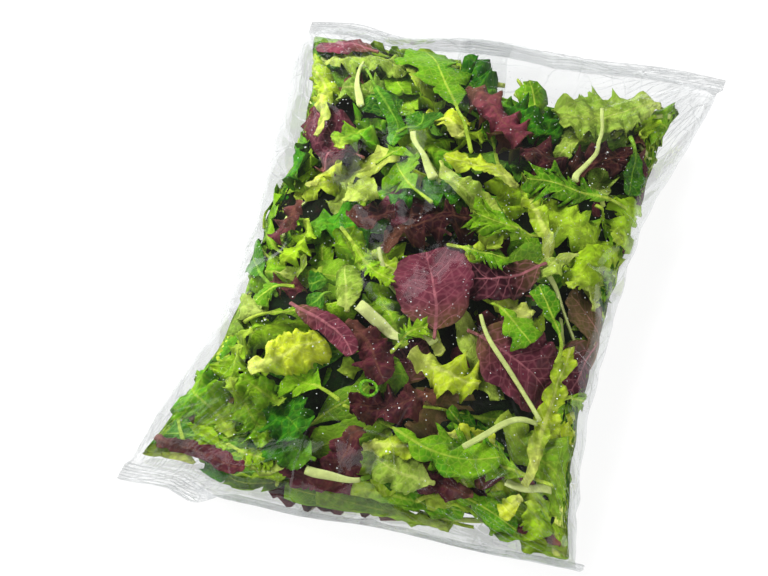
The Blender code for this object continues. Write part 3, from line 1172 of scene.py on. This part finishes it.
def leaf_form(kind, rng, length, width, on_top):
    """A leaf in its own frame: flat places, height, and the thickness over the blade.

    Arrays are (lines along, columns across).
    """
    across, along = leaf_quads(kind, on_top)
    s = np.linspace(0.0, 1.0, along + 1)
    t = np.linspace(-1.0, 1.0, across + 1)
    t = np.sign(t) * np.abs(t) ** 1.35
    half = width / 2
    rib = kind.rib * (0.3 + 0.7 * (1 - s) ** 0.8) * rng.uniform(0.85, 1.2)
    if kind.stalk >= 1.0:
        rib = half * (1 + 0.25 * np.sin(3 * s + rng.uniform(0, 6))) * (1 - 0.45 * s)
        sides = [rib, rib]
    else:
        sides = []
        for hand in (0.0, 1.7):
            sides.append(np.maximum(half_widths(kind, rng, length, s, hand) * half, rib))
    x = np.where(t[None, :] < 0, sides[0][:, None], sides[1][:, None]) * t[None, :]
    envelope = np.maximum(sides[0], sides[1])[:, None]
    margin = np.abs(t)[None, :]
    bend = rng.uniform(-0.7, 0.7)
    line, ahead = centre_line(rng, s, bend)
    lean = kind.sweep * envelope * margin**1.4 * (kind.stalk < 1.0)
    ruffle = kind.ruffle * min(half, 14 * MM) * rng.uniform(0.7, 1.3)
    pitch = kind.wave * rng.uniform(0.8, 1.3)
    height = np.zeros_like(x)
    sway = np.zeros_like(x)
    blade = smooth_step(kind.stalk * 0.8, kind.stalk + 0.25, s)[:, None]
    for hand in (-1, 1):
        here = (np.sign(t) == hand)[None, :] * margin**2.2 * blade
        phase = 2 * pi * s[:, None] * length / pitch + rng.uniform(0, 6)
        phase = phase + 1.2 * np.sin(phase * 0.37 + rng.uniform(0, 6))
        height += ruffle * here * (np.sin(phase) + 0.35 * np.sin(2.3 * phase + 1))
        sway += ruffle * here * 0.3 * np.cos(phase)
    flat_y = s[:, None] * length + lean
    flat = np.stack([x, flat_y, np.zeros_like(x)], axis=2)
    height += kind.crumple * waves(rng, x, flat_y, 0.006, 0.018, 7, 0.7) * blade * (0.4 + margin)
    height += kind.billow * waves(rng, x, flat_y, 0.028, 0.07, 4) * (0.4 + 0.6 * blade)
    for hand in (-1, 1):
        lift = kind.fold * rng.normal(0.0, 0.6 if on_top else 1.0)
        lift = np.radians(lift) * (0.4 + 0.6 * margin) * blade
        lift = np.clip(lift, -1.2, 1.2) * (np.sign(t) == hand)[None, :]
        height += np.abs(x) * np.sin(lift)
        x = x * np.cos(lift)
    along_x = line[:, 0][:, None] * length
    along_y = line[:, 1][:, None] * length
    out = x + np.sign(x) * sway
    place_x = along_x + out * ahead[:, 1][:, None] + lean * ahead[:, 0][:, None]
    place_y = along_y - out * ahead[:, 0][:, None] + lean * ahead[:, 1][:, None]
    round_rib = np.sqrt(np.clip(1 - (x / rib[:, None]) ** 2, 0.0, 1.0))
    tall = kind.rib_tall * (0.25 + 0.75 * (1 - s[:, None])) * round_rib
    if kind.stalk >= 1.0:
        tall = np.minimum(2 * rib[:, None], kind.rib_tall) * round_rib
    thin = sizes().leaf_thickness * (0.4 + 0.6 * (1 - margin**4)) * np.ones_like(x)
    return {
        "x": place_x,
        "y": place_y,
        "height": height,
        "front": thin / 2 + 0.2 * tall,
        "back": thin / 2 + 0.8 * tall,
        "s": s[:, None] * np.ones_like(x),
        "t": t[None, :] * np.ones_like(x),
        "flat": flat,
        "rib": rib[:, None] * np.ones_like(x),
    }


def dense(field, times=3):
    """A finer copy of a grid of values, by straight lines between them."""
    lines = np.linspace(0, field.shape[0] - 1, (field.shape[0] - 1) * times + 1)
    columns = np.linspace(0, field.shape[1] - 1, (field.shape[1] - 1) * times + 1)
    rows = np.arange(field.shape[0])
    places = np.arange(field.shape[1])
    tall = np.stack([np.interp(lines, rows, field[:, c]) for c in places], axis=1)
    return np.stack([np.interp(columns, places, line) for line in tall], axis=0)


class Leaf:
    """One leaf laid in the pile."""

    def __init__(self, pile, name, rng, base, tip, width, shade, on_top=False):
        kind = KINDS[name]
        length = hypot(tip[0] - base[0], tip[1] - base[1])
        form = leaf_form(kind, rng, length, width, on_top)
        self.on_top = on_top
        ahead = ((tip[0] - base[0]) / length, (tip[1] - base[1]) / length)
        u = base[0] + form["x"] * ahead[1] + form["y"] * ahead[0]
        v = base[1] - form["x"] * ahead[0] + form["y"] * ahead[1]
        self.name = name
        self.form = form
        self.shade = shade
        self.flip = rng.random() < 0.3 and not on_top
        self.seed = rng.uniform(0, 40)
        self.row, self.ring = pile.spot(u, v)
        self.rest(pile, rng)

    def inside(self, pile):
        """The share of the leaf that lies where the pile has leaves."""
        return float(sample(pile.room, self.row, self.ring).mean())

    def rest(self, pile, rng):
        """Lets the leaf come up under the leaves above it, without touching them."""
        height = self.form["height"]
        gap = rng.uniform(0.2, 1.4) * MM
        above = sample(pile.under, self.row, self.ring)
        need = above + gap + self.form["front"] + 0.6 * np.maximum(height, 0)
        reach = max(3, need.shape[0] // 12)
        widest = need.copy()
        for step in range(1, reach):
            widest[step:] = np.maximum(widest[step:], need[:-step])
            widest[:-step] = np.maximum(widest[:-step], need[step:])
        widest = np.maximum(widest, 0.6 * widest.max(axis=1, keepdims=True) + 0.4 * widest)
        level = blur(blur(widest, reach * 0.8, 0, False), 1.5, 1, False)
        self.depth = level - height
        self.level = level
        close = np.maximum(above, sample(pile.close, self.row, self.ring))
        self.depth = np.maximum(self.depth, close + self.form["front"] + 0.1 * MM)

    def settle(self, pile):
        """Adds the leaf to the pile."""
        times = 1 if self.on_top else 2
        row = dense(self.row, times)
        ring = dense(self.ring, times)
        deep = np.maximum(0.5 * (self.level + self.depth), self.depth)
        reach = deep + self.form["back"] + 0.2 * MM
        reach = dense(reach, times)
        pile.lay(row, ring, reach)


def laid_leaves(pile):
    """The leaves that are laid one by one, as listed."""
    rng = np.random.default_rng(sizes().seed)
    leaves = []
    for name, base, tip, width, shade in PLACED:
        start = pile.place_of(base[0] * MM, base[1] * MM)
        end = pile.place_of(tip[0] * MM, tip[1] * MM)
        leaf = Leaf(pile, name, rng, start, end, width * MM, shade / 9.0, True)
        leaf.settle(pile)
        leaves.append(leaf)
    return leaves


def filling_leaves(pile, rng, count, centre):
    """Leaves scattered where the pile is still thin, over one side of the bag."""
    names = [row[0] for row in MIX]
    shares = np.array([row[1] for row in MIX], dtype=float)
    shares /= shares.sum()
    ranges = {row[0]: row[2:] for row in MIX}
    span = pile.along[-1]
    leaves = []
    for _ in range(count):
        name = names[rng.choice(len(names), p=shares)]
        lengths, widths = ranges[name]
        length = rng.uniform(*lengths) * MM
        width = rng.uniform(*widths) * MM
        shade = float(np.clip(rng.normal(0.45, 0.25), 0.0, 1.0))
        best = None
        for _ in range(CANDIDATES):
            u = centre + rng.uniform(-0.125, 0.125)
            v = rng.uniform(0.02, span - 0.02)
            angle = rng.uniform(0, 2 * pi)
            reach_u = length / 2 * cos(angle)
            reach_v = length / 2 * sin(angle)
            row, ring = pile.spot(
                np.linspace(u - reach_u, u + reach_u, 7),
                np.linspace(v - reach_v, v + reach_v, 7),
            )
            if sample(pile.room, row, ring).min() < 0.5:
                continue
            crowd = float(sample(pile.cover, row, ring).mean())
            if best is None or crowd < best[0]:
                best = (crowd, (u - reach_u, v - reach_v), (u + reach_u, v + reach_v))
        if best is None:
            continue
        leaf = Leaf(pile, name, rng, best[1], best[2], width, shade)
        leaf.settle(pile)
        leaves.append(leaf)
    return leaves


def ring_bed(pile):
    """Keeps a hollow for the cut ring on top of the pile: its middle and its axis."""
    u, v = pile.place_of(*RING_PLACE)
    reach = RING_SIZE / 2 + 1 * MM
    steps = np.linspace(-reach, reach, 9)
    row, ring = pile.spot(*np.meshgrid(u + steps, v + steps))
    top = sample(pile.close, row, ring).max() + 0.5 * MM
    pile.lay(row, ring, top + RING_HEIGHT + 1.5 * MM)
    row, ring = pile.spot(np.array([u]), np.array([v]))
    middle = pile.point(row, ring, np.array([top + RING_HEIGHT / 2 + 1 * MM]))[0]
    return middle, sample(pile.normals, row, ring)[0]


@lru_cache(maxsize=None)
def whole_pile():
    """The pile and every leaf in it."""
    pile = Pile()
    pile.ring = ring_bed(pile)
    rng = np.random.default_rng(sizes().seed + 1)
    leaves = laid_leaves(pile)
    leaves += filling_leaves(pile, rng, TOP_FILL, 0.0)
    leaves += filling_leaves(pile, rng, UNDER_FILL, pile.cell.mean() * COLUMNS)
    return pile, leaves


def leaf_piece(name):
    """All the leaves of one kind, joined in one mesh with its pattern attributes."""
    pile, leaves = whole_pile()
    kind = KINDS[name]
    mine = [leaf for leaf in leaves if leaf.name == name]
    if not mine:
        raise RuntimeError(f"no {name} leaves were laid")
    joined = bmesh.new()
    for leaf in mine:
        joined.from_mesh(leaf_blank(*leaf_quads(kind, leaf.on_top))[0])
    mesh = bpy.data.meshes.new(name)
    joined.to_mesh(mesh)
    joined.free()
    points, flats, tints, unders, uvs = [], [], [], [], []
    for leaf in mine:
        line, column, outer = leaf_blank(*leaf_quads(kind, leaf.on_top))[1:]
        form = leaf.form
        front = form["back"] if leaf.flip else form["front"]
        back = form["front"] if leaf.flip else form["back"]
        sides = []
        for depth in (leaf.depth - front, leaf.depth + back):
            sides.append(pile.point(leaf.row, leaf.ring, np.maximum(depth, 0.2 * MM)))
        points.append(np.where(outer[:, None], sides[0][line, column], sides[1][line, column]))
        flat = form["flat"][line, column] + (0.0, 0.0, leaf.seed)
        flats.append(flat)
        tints.append(np.full(len(line), leaf.shade))
        unders.append(np.where(outer, float(leaf.flip), 1.0 - float(leaf.flip)))
        uvs.append(np.stack([form["t"][line, column] / 2 + 0.5, form["s"][line, column]], 1))
    mesh.vertices.foreach_set("co", np.concatenate(points).ravel())
    write_attribute(mesh, "flat", "FLOAT_VECTOR", "vector", np.concatenate(flats))
    write_attribute(mesh, "tint", "FLOAT", "value", np.concatenate(tints))
    write_attribute(mesh, "under", "FLOAT", "value", np.concatenate(unders))
    corners = np.zeros(len(mesh.loops), dtype=np.int32)
    mesh.loops.foreach_get("vertex_index", corners)
    layer = mesh.uv_layers.new(name="blade")
    layer.uv.foreach_set("vector", np.concatenate(uvs)[corners].ravel())
    mesh.shade_smooth()
    mesh.update()
    mesh.materials.append(leaf_material(name))
    return add_object(f"{name}_leaves", mesh)


def write_attribute(mesh, name, kind, field, values):
    """Stores a value for each vertex of a mesh."""
    layer = mesh.attributes.new(name, kind, "POINT")
    layer.data.foreach_set(field, np.asarray(values, dtype=np.float32).ravel())


def leaf_material(name):
    """A leaf: blade and rib colours, veins, a net of blisters with painted shade in their hollows and painted
    light on their tops, and a soft gloss.
    """
    kind = KINDS[name]
    n = Nodes(f"{name}_leaf")
    flat = n.attribute("flat").outputs["Vector"]
    tint = n.attribute("tint").outputs["Fac"]
    under = n.attribute("under").outputs["Fac"]
    parts = n.add("ShaderNodeSeparateXYZ", {0: flat})
    across = n.math("ABSOLUTE", parts.outputs[0])
    along = parts.outputs[1]
    broad = n.noise(flat, 55.0, 3.0, 0.55)
    fine = n.noise(flat, 420.0, 3.0, 0.6)
    blister = n.noise(flat, 170.0, 2.0, 0.5)
    own = n.math("ADD", parts.outputs[0], parts.outputs[2])
    sheet = n.add("ShaderNodeCombineXYZ", {0: own, 1: along}).outputs[0]
    cells = n.add(
        "ShaderNodeTexVoronoi",
        {"Vector": sheet, "Scale": kind.net, "Randomness": 0.9},
        voronoi_dimensions="2D",
        feature="DISTANCE_TO_EDGE",
    ).outputs["Distance"]
    net = n.ramp(cells, 0.0, 0.22)
    wobble = n.math("MULTIPLY", n.math("SUBTRACT", broad, 0.5), 0.008)
    lean = n.math("MULTIPLY_ADD", across, -0.75, along)
    veins = n.math("ADD", lean, wobble)
    veins = n.math("PINGPONG", veins, 0.0034)
    vein = n.math("SUBTRACT", 1.0, n.ramp(veins, 0.0, 0.0006))
    near_rib = n.ramp(across, 0.002, 0.014)
    vein = n.math("MULTIPLY", vein, n.math("SUBTRACT", 1.0, n.math("MULTIPLY", near_rib, 0.6)))
    base = n.add("ShaderNodeUVMap", uv_map="blade")
    share = n.add("ShaderNodeSeparateXYZ", {0: base.outputs[0]}).outputs[1]
    taper = n.ramp(share, 0.0, 1.0, 1.1, 0.4)
    from_rib = n.math("DIVIDE", across, taper)
    rib = n.math("SUBTRACT", 1.0, n.ramp(from_rib, kind.rib * 0.4, kind.rib * 1.15))
    rib = n.math("MULTIPLY", rib, n.ramp(n.noise(flat, 90.0, 2.0), 0.3, 0.6, 0.45, 1.0))
    spread = n.math("MULTIPLY", n.math("SUBTRACT", broad, 0.5), 0.9)
    shade = n.math("ADD", tint, spread, clamp=True)
    blade = n.mix(shade, tone(kind.deep), tone(kind.light))
    patch = n.ramp(n.noise(flat, 34.0, 3.0, 0.6), 0.62 - kind.blotched * 0.4, 0.72)
    blade = n.mix(n.math("MULTIPLY", patch, 0.8), blade, tone(kind.blotch))
    pale = n.ramp(share, 0.0, 0.45, 0.6, 0.0)
    blade = n.mix(pale, blade, tone(kind.foot_tone or kind.rib_tone))
    blade = n.mix(n.math("MULTIPLY", vein, kind.vein), blade, tone(kind.rib_tone))
    blade = n.mix(n.math("MULTIPLY", n.math("SUBTRACT", 1.0, net), 0.22), blade, tone(kind.rib_tone))
    blade = n.mix(n.math("MULTIPLY", rib, kind.rib_paint), blade, tone(kind.rib_tone))
    # Painted shade and light: the blade is darkened in the hollows between blisters and lightened on their
    # tops
    painted_hollow_shade = n.ramp(blister, 0.38, 0.6, 0.66, 1.14)
    painted_hollow_shade = n.math("MULTIPLY", painted_hollow_shade, n.ramp(fine, 0.3, 0.7, 0.9, 1.06))
    painted_hollow_shade = n.add("ShaderNodeCombineColor", {0: painted_hollow_shade, 1: painted_hollow_shade, 2: painted_hollow_shade}).outputs[0]
    blade = n.mix(kind.hollow_depth_and_shade, blade, painted_hollow_shade, "MULTIPLY")
    dull = n.mix(0.3, blade, tone("#A0B048"))
    blade = n.mix(n.math("MULTIPLY", under, 0.6), blade, dull)
    relief = n.math("ADD", n.math("MULTIPLY", net, 0.5), n.math("MULTIPLY", fine, 0.3))
    relief = n.math("ADD", relief, n.math("MULTIPLY", vein, -0.5))
    relief = n.math("ADD", relief, n.math("MULTIPLY", blister, 2.4 * kind.hollow_depth_and_shade))
    bump = n.add(
        "ShaderNodeBump", {"Strength": kind.relief, "Distance": 0.0006, "Height": relief}
    ).outputs["Normal"]
    rough = n.math("MULTIPLY_ADD", fine, 0.2, kind.rough - 0.1)
    shader = n.add(
        "ShaderNodeBsdfPrincipled",
        {"Base Color": blade, "Roughness": rough, "Normal": bump, "IOR": 1.35},
    ).outputs[0]
    shader.node.inputs["Specular IOR Level"].default_value = 0.35
    through = n.add("ShaderNodeBsdfTranslucent", {"Color": blade, "Normal": bump}).outputs[0]
    return n.surface(n.add("ShaderNodeMixShader", {0: 0.18, 1: shader, 2: through}).outputs[0])


def finish_piece(piece):
    """Rides a new piece on the bag, as part of what stands for its frame."""
    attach(piece, "root")
    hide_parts(NODE)


def lay_kind(name):
    finish_piece(leaf_piece(name))
    return {"FINISHED"}


class SALAD_OT_rocket(Operator):
    """Lay the rocket leaves, with round lobes on a long stalk"""

    bl_idname = "salad.rocket"
    bl_label = "Rocket"

    def execute(self, context):
        return lay_kind("rocket")


class SALAD_OT_mizuna(Operator):
    """Lay the mizuna leaves, cut into sharp forward teeth"""

    bl_idname = "salad.mizuna"
    bl_label = "Mizuna"

    def execute(self, context):
        return lay_kind("mizuna")


class SALAD_OT_frill(Operator):
    """Lay the frilly green lettuce leaves"""

    bl_idname = "salad.frill"
    bl_label = "Frilly lettuce"

    def execute(self, context):
        return lay_kind("frill")


class SALAD_OT_crinkle(Operator):
    """Lay the dark green crinkled leaves"""

    bl_idname = "salad.crinkle"
    bl_label = "Crinkled leaves"

    def execute(self, context):
        return lay_kind("crinkle")


class SALAD_OT_spoon(Operator):
    """Lay the smooth spoon-shaped spinach leaves"""

    bl_idname = "salad.spoon"
    bl_label = "Spinach"

    def execute(self, context):
        return lay_kind("spoon")


class SALAD_OT_chard(Operator):
    """Lay the red and violet chard leaves"""

    bl_idname = "salad.chard"
    bl_label = "Chard"

    def execute(self, context):
        return lay_kind("chard")


class SALAD_OT_maroon(Operator):
    """Lay the frilly maroon lettuce leaves"""

    bl_idname = "salad.maroon"
    bl_label = "Red lettuce"

    def execute(self, context):
        return lay_kind("maroon")


class SALAD_OT_lime(Operator):
    """Lay the pale lime heart leaves"""

    bl_idname = "salad.lime"
    bl_label = "Heart leaves"

    def execute(self, context):
        return lay_kind("lime")


class SALAD_OT_sage(Operator):
    """Lay the dull pale green leaves"""

    bl_idname = "salad.sage"
    bl_label = "Pale leaves"

    def execute(self, context):
        return lay_kind("sage")


class SALAD_OT_stalk(Operator):
    """Lay the cut pale stalks"""

    bl_idname = "salad.stalk"
    bl_label = "Stalks"

    def execute(self, context):
        return lay_kind("stalk")


class SALAD_OT_ring(Operator):
    """Lay the small ring cut from a green onion"""

    bl_idname = "salad.ring"
    bl_label = "Cut ring"

    def execute(self, context):
        middle, axis = whole_pile()[0].ring
        ring = bmesh.new()
        outer = RING_SIZE / 2
        inner = outer - RING_WALL
        half = RING_HEIGHT / 2
        corners = [ring.verts.new(place) for place in (
            (outer, 0.0, -half), (outer, 0.0, half), (inner, 0.0, half), (inner, 0.0, -half),
        )]
        profile = [ring.edges.new((corners[i], corners[i - 1])) for i in range(4)]
        bmesh.ops.spin(
            ring,
            geom=corners + profile,
            cent=(0.0, 0.0, 0.0),
            axis=(0.0, 0.0, 1.0),
            angle=2 * pi,
            steps=40,
            use_merge=True,
        )
        bmesh.ops.recalc_face_normals(ring, faces=ring.faces)
        edges = [edge for edge in ring.edges if edge.calc_face_angle(0.0) > 0.8]
        bmesh.ops.bevel(
            ring,
            geom=edges,
            offset=0.4 * MM,
            offset_type="OFFSET",
            affect="EDGES",
            segments=3,
            profile=0.5,
            material=-1,
        )
        for vertex in ring.verts:
            vertex.co.x *= 1.0 + 0.06 * sin(3 * vertex.co.y / outer)
            vertex.co.y *= 0.86
        lean = Matrix.Rotation(radians(24), 4, (0.4, 1.0, 0.0))
        stand = Vector(axis).to_track_quat("Z", "Y").to_matrix().to_4x4()
        bmesh.ops.transform(
            ring, matrix=Matrix.Translation(middle) @ stand @ lean, verts=ring.verts
        )
        mesh = bpy.data.meshes.new("cut_ring")
        ring.to_mesh(mesh)
        ring.free()
        mesh.shade_smooth()
        mesh.materials.append(ring_material())
        finish_piece(add_object("cut_ring", mesh))
        return {"FINISHED"}


def ring_material():
    n = Nodes("cut_ring_green")
    place = n.add("ShaderNodeTexCoord").outputs["Object"]
    grain = n.noise(place, 700.0, 3.0)
    colour = n.mix(n.ramp(grain, 0.3, 0.7), tone("#3C8A0C"), tone("#8CD02C"))
    bump = n.add(
        "ShaderNodeBump", {"Strength": 0.4, "Distance": 0.0004, "Height": grain}
    ).outputs["Normal"]
    shader = n.add(
        "ShaderNodeBsdfPrincipled",
        {"Base Color": colour, "Roughness": 0.3, "Normal": bump},
    ).outputs[0]
    return n.surface(shader)


# ---------------------------------------------------------------- core, seam, droplets


CORE_COLUMNS = 48
CORE_ROWS = 60


def core_grid():
    """The solid heart of the pile, which closes at its ends like a pillow."""
    pile = whole_pile()[0]
    grid = bmesh.new()
    bmesh.ops.create_cube(grid, size=2.0)
    for axis, steps in ((0, CORE_COLUMNS), (1, CORE_ROWS)):
        edges = []
        for edge in grid.edges:
            span = edge.verts[0].co - edge.verts[1].co
            if abs(span[axis]) > 1.0:
                edges.append(edge)
        bmesh.ops.subdivide_edges(grid, edges=edges, cuts=steps - 1, use_grid_fill=True)
    points = np.array([vertex.co for vertex in grid.verts])
    column = (points[:, 0] + 1) / 2 * COLUMNS
    ring = np.where(points[:, 2] > 0, column, RING - column)
    x = sample(pile.skin[:, :, 0], np.full_like(ring, ROWS / 2), ring)
    low = np.interp(-0.158, pile.rows, np.arange(ROWS + 1))
    high = np.interp(leafy_end(x) - 0.012, pile.rows, np.arange(ROWS + 1))
    share = (points[:, 1] + 1) / 2
    row = low + share * (high - low)
    end = 1 - smooth_step(0.0, 0.09, 0.5 - np.abs(share - 0.5))
    rng = np.random.default_rng(sizes().seed + 2)
    leafy = waves(rng, ring * 3.2 * MM, row * 3.4 * MM, 0.012, 0.035, 9, 0.6)
    depth = sizes().core_depth + 2.2 * MM * leafy + 60 * MM * end
    places = pile.point(row, ring, np.maximum(depth, 8 * MM))
    for vertex, place in zip(grid.verts, places):
        vertex.co = place
    return grid


def core_material():
    n = Nodes("pile_core_painted_shade")
    place = n.add("ShaderNodeTexCoord").outputs["Object"]
    broad = n.noise(place, 42.0, 4.0, 0.6)
    fine = n.noise(place, 210.0, 4.0, 0.6)
    # Painted shade: near-black greens and maroon stand for the leaves deep in the pile, which lie in shadow
    colour = n.mix(n.ramp(broad, 0.42, 0.58), colours().core, tone("#12260A"))
    colour = n.mix(n.ramp(fine, 0.55, 0.7, 0.0, 0.5), colour, tone("#2A0C16"))
    bump = n.add(
        "ShaderNodeBump", {"Strength": 0.8, "Distance": 0.003, "Height": fine}
    ).outputs["Normal"]
    shader = n.add(
        "ShaderNodeBsdfPrincipled",
        {"Base Color": colour, "Roughness": 0.7, "Normal": bump},
    ).outputs[0]
    return n.surface(shader)


class SALAD_OT_core(Operator):
    """Fill the heart of the pile with a core painted near-black, as the shade of the leaves deep in the pile
    """

    bl_idname = "salad.core"
    bl_label = "Core"

    def execute(self, context):
        grid = core_grid()
        bmesh.ops.recalc_face_normals(grid, faces=grid.faces)
        mesh = bpy.data.meshes.new("leafy_core")
        grid.to_mesh(mesh)
        grid.free()
        mesh.shade_smooth()
        mesh.materials.append(core_material())
        finish_piece(add_object("leafy_core", mesh))
        return {"FINISHED"}


class SALAD_OT_seam(Operator):
    """Lay the folded seam down the back of the bag"""

    bl_idname = "salad.seam"
    bl_label = "Back seam"

    def execute(self, context):
        size = sizes()
        skin = film_surface()
        across, along = 6, ROWS
        strip = bmesh.new()
        bmesh.ops.create_grid(strip, x_segments=across, y_segments=along, size=1.0)
        for vertex in strip.verts:
            share = (vertex.co.y + 1) / 2
            row = SEAL_ROWS + 2 + share * (ROWS - SEAL_ROWS - 2)
            x = size.seam_place + vertex.co.x * size.seam_width / 2
            line = skin[int(round(row)), COLUMNS:]
            order = np.argsort(line[:, 0])
            y = np.interp(x, line[order, 0], line[order, 1])
            z = np.interp(x, line[order, 0], line[order, 2])
            vertex.co = (x, y, max(z - 0.2 * MM, 0.15 * MM))
        bmesh.ops.recalc_face_normals(strip, faces=strip.faces)
        bmesh.ops.solidify(strip, geom=strip.faces[:], thickness=0.12 * MM)
        bmesh.ops.recalc_face_normals(strip, faces=strip.faces)
        mesh = bpy.data.meshes.new("back_seam")
        strip.to_mesh(mesh)
        strip.free()
        mesh.shade_smooth()
        mesh.materials.append(film_material("seam_film", 0.02, 0.06, creased=False))
        finish_piece(add_object("back_seam", mesh))
        return {"FINISHED"}


def water_material():
    n = Nodes("water_bead")
    place = n.add("ShaderNodeTexCoord").outputs["Object"]
    spread = n.noise(place, 300.0, 2.0)
    clear = n.add("ShaderNodeBsdfTransparent", {"Color": (0.97, 0.98, 0.98)}).outputs[0]
    shine = n.add(
        "ShaderNodeBsdfPrincipled",
        {"Base Color": (0.85, 0.88, 0.88), "Roughness": 0.12, "IOR": 1.33},
    ).outputs[0]
    share = n.ramp(spread, 0.35, 0.65, 0.3, 0.6)
    return n.surface(n.add("ShaderNodeMixShader", {0: share, 1: clear, 2: shine}).outputs[0])


class SALAD_OT_droplets(Operator):
    """Scatter beads of water over the inside of the film"""

    bl_idname = "salad.droplets"
    bl_label = "Droplets"

    def execute(self, context):
        skin = film_surface()
        normals = surface_normals(skin)
        rng = np.random.default_rng(sizes().seed + 3)
        beads = bmesh.new()
        for _ in range(sizes().droplets):
            row = rng.uniform(SEAL_ROWS + 2, ROWS - SEAL_ROWS - 2, 1)
            ring = rng.uniform(0, COLUMNS, 1)
            normal = Vector(sample(normals, row, ring)[0])
            radius = 0.15 * MM + 0.10 * MM * rng.exponential()
            place = Vector(sample(skin, row, ring)[0]) - normal * radius * 0.3
            turn = normal.to_track_quat("Z", "Y").to_matrix().to_4x4()
            flat = Matrix.Diagonal((1.0, 1.0, 0.5, 1.0))
            bmesh.ops.create_icosphere(
                beads,
                subdivisions=1,
                radius=min(radius, 0.7 * MM),
                matrix=Matrix.Translation(place) @ turn @ flat,
            )
        mesh = bpy.data.meshes.new("droplets")
        beads.to_mesh(mesh)
        beads.free()
        mesh.shade_smooth()
        mesh.materials.append(water_material())
        finish_piece(add_object("droplets", mesh))
        return {"FINISHED"}


# ---------------------------------------------------------------- stage


def stage_floor():
    floor = bmesh.new()
    bmesh.ops.create_grid(floor, x_segments=1, y_segments=1, size=6.0)
    mesh = bpy.data.meshes.new("floor")
    floor.to_mesh(mesh)
    floor.free()
    n = Nodes("pale_floor")
    paint = n.add("ShaderNodeBsdfDiffuse", {"Color": colours().floor}).outputs[0]
    glow = n.add("ShaderNodeEmission", {"Color": (1.0, 1.0, 1.0), "Strength": 0.90}).outputs[0]
    mesh.materials.append(n.surface(n.add("ShaderNodeAddShader", {0: paint, 1: glow}).outputs[0]))
    add_object("floor", mesh)


def soft_light(name, place, size, power, sheen=1.0):
    """A square soft light that faces the bag. sheen is the share that makes gloss."""
    for part, share, glossy in (("", sheen, True), ("_matte", 1.0 - sheen, False)):
        if share <= 0.0:
            continue
        lamp = bpy.data.lights.new(name + part, "AREA")
        lamp.shape = "RECTANGLE"
        lamp.size, lamp.size_y = size
        lamp.energy = power * share
        light = bpy.data.objects.new(name + part, lamp)
        light.location = Vector(place)
        light.rotation_euler = Vector(place).to_track_quat("Z", "Y").to_euler()
        light.visible_glossy = glossy
        bpy.context.scene.collection.objects.link(light)


def stage_lights():
    soft_light("key", (-1.5, -1.5, 1.5), (2.0, 2.0), 48.0, 0.35)
    soft_light("sky", (-1.3, 0.9, 1.7), (1.2, 1.2), 126.0, 0.0)
    soft_light("fill", (1.9, -1.2, 1.3), (1.4, 1.4), 52.0, 0.5)
    soft_light("strip", (-0.9, 1.7, 1.9), (0.3, 1.2), 1.6)
    world = bpy.data.worlds.new("studio")
    world.use_nodes = True
    tree = world.node_tree
    back = tree.nodes["Background"]
    back.inputs["Color"].default_value = (1.0, 1.0, 1.0, 1.0)
    seen = tree.nodes.new("ShaderNodeLightPath").outputs["Is Camera Ray"]
    strength = tree.nodes.new("ShaderNodeMapRange")
    strength.inputs["To Min"].default_value = 0.08
    strength.inputs["To Max"].default_value = 1.0
    tree.links.new(seen, strength.inputs["Value"])
    tree.links.new(strength.outputs["Result"], back.inputs["Strength"])
    bpy.context.scene.world = world


def stage_camera():
    """A long lens, from in front and to the right, a little turned."""
    turn = radians(21.8)
    height = radians(50.4)
    roll = radians(-7.1)
    back = Vector((sin(turn) * cos(height), -cos(turn) * cos(height), sin(height)))
    level = (-back).cross(Vector((0, 0, 1))).normalized()
    up = level.cross(-back)
    right = cos(roll) * level + sin(roll) * up
    top = cos(roll) * up - sin(roll) * level
    place = back * 1.669 - 0.0288 * right - 0.0086 * top + Vector((0, 0, 0.013))
    lens = bpy.data.cameras.new("camera")
    lens.lens = 140.6
    lens.sensor_width = 36.0
    lens.clip_start = 0.05
    lens.clip_end = 50.0
    camera = bpy.data.objects.new("camera", lens)
    axes = Matrix((right, top, back)).transposed().to_4x4()
    camera.matrix_world = Matrix.Translation(place) @ axes
    bpy.context.scene.collection.objects.link(camera)
    bpy.context.scene.camera = camera


class SALAD_OT_stage(Operator):
    """Set out the floor, the soft lights and the camera"""

    bl_idname = "salad.stage"
    bl_label = "Stage"

    def execute(self, context):
        context.scene.view_settings.view_transform = "Standard"
        stage_floor()
        stage_lights()
        stage_camera()
        return {"FINISHED"}


# ---------------------------------------------------------------- panel and main


PIECES = (
    SALAD_OT_stage,
    SALAD_OT_film,
    SALAD_OT_rocket,
    SALAD_OT_mizuna,
    SALAD_OT_frill,
    SALAD_OT_crinkle,
    SALAD_OT_spoon,
    SALAD_OT_chard,
    SALAD_OT_maroon,
    SALAD_OT_lime,
    SALAD_OT_sage,
    SALAD_OT_stalk,
    SALAD_OT_ring,
    SALAD_OT_core,
    SALAD_OT_seam,
    SALAD_OT_droplets,
)


class SALAD_PT_panel(Panel):
    """The bag's sizes, colours and pieces"""

    bl_idname = "SALAD_PT_panel"
    bl_label = "Bag of Salad Leaves"
    bl_space_type = "VIEW_3D"
    bl_region_type = "UI"
    bl_category = "Salad Bag"

    def draw(self, context):
        for settings in (context.scene.salad_sizes, context.scene.salad_colours):
            box = self.layout.box()
            for name in settings.bl_rna.properties.keys():
                if name not in {"rna_type", "name"}:
                    box.prop(settings, name)
        column = self.layout.column()
        for piece in PIECES:
            column.operator(piece.bl_idname)


CLASSES = (BagSizes, BagColours, *PIECES, SALAD_PT_panel)


def register():
    for item in CLASSES:
        bpy.utils.register_class(item)
    bpy.types.Scene.salad_sizes = PointerProperty(type=BagSizes)
    bpy.types.Scene.salad_colours = PointerProperty(type=BagColours)


def unregister():
    del bpy.types.Scene.salad_colours
    del bpy.types.Scene.salad_sizes
    for item in reversed(CLASSES):
        bpy.utils.unregister_class(item)


def main():
    register()
    for piece in PIECES:
        group, name = piece.bl_idname.split(".")
        getattr(getattr(bpy.ops, group), name)()


if __name__ == "__main__":
    main()
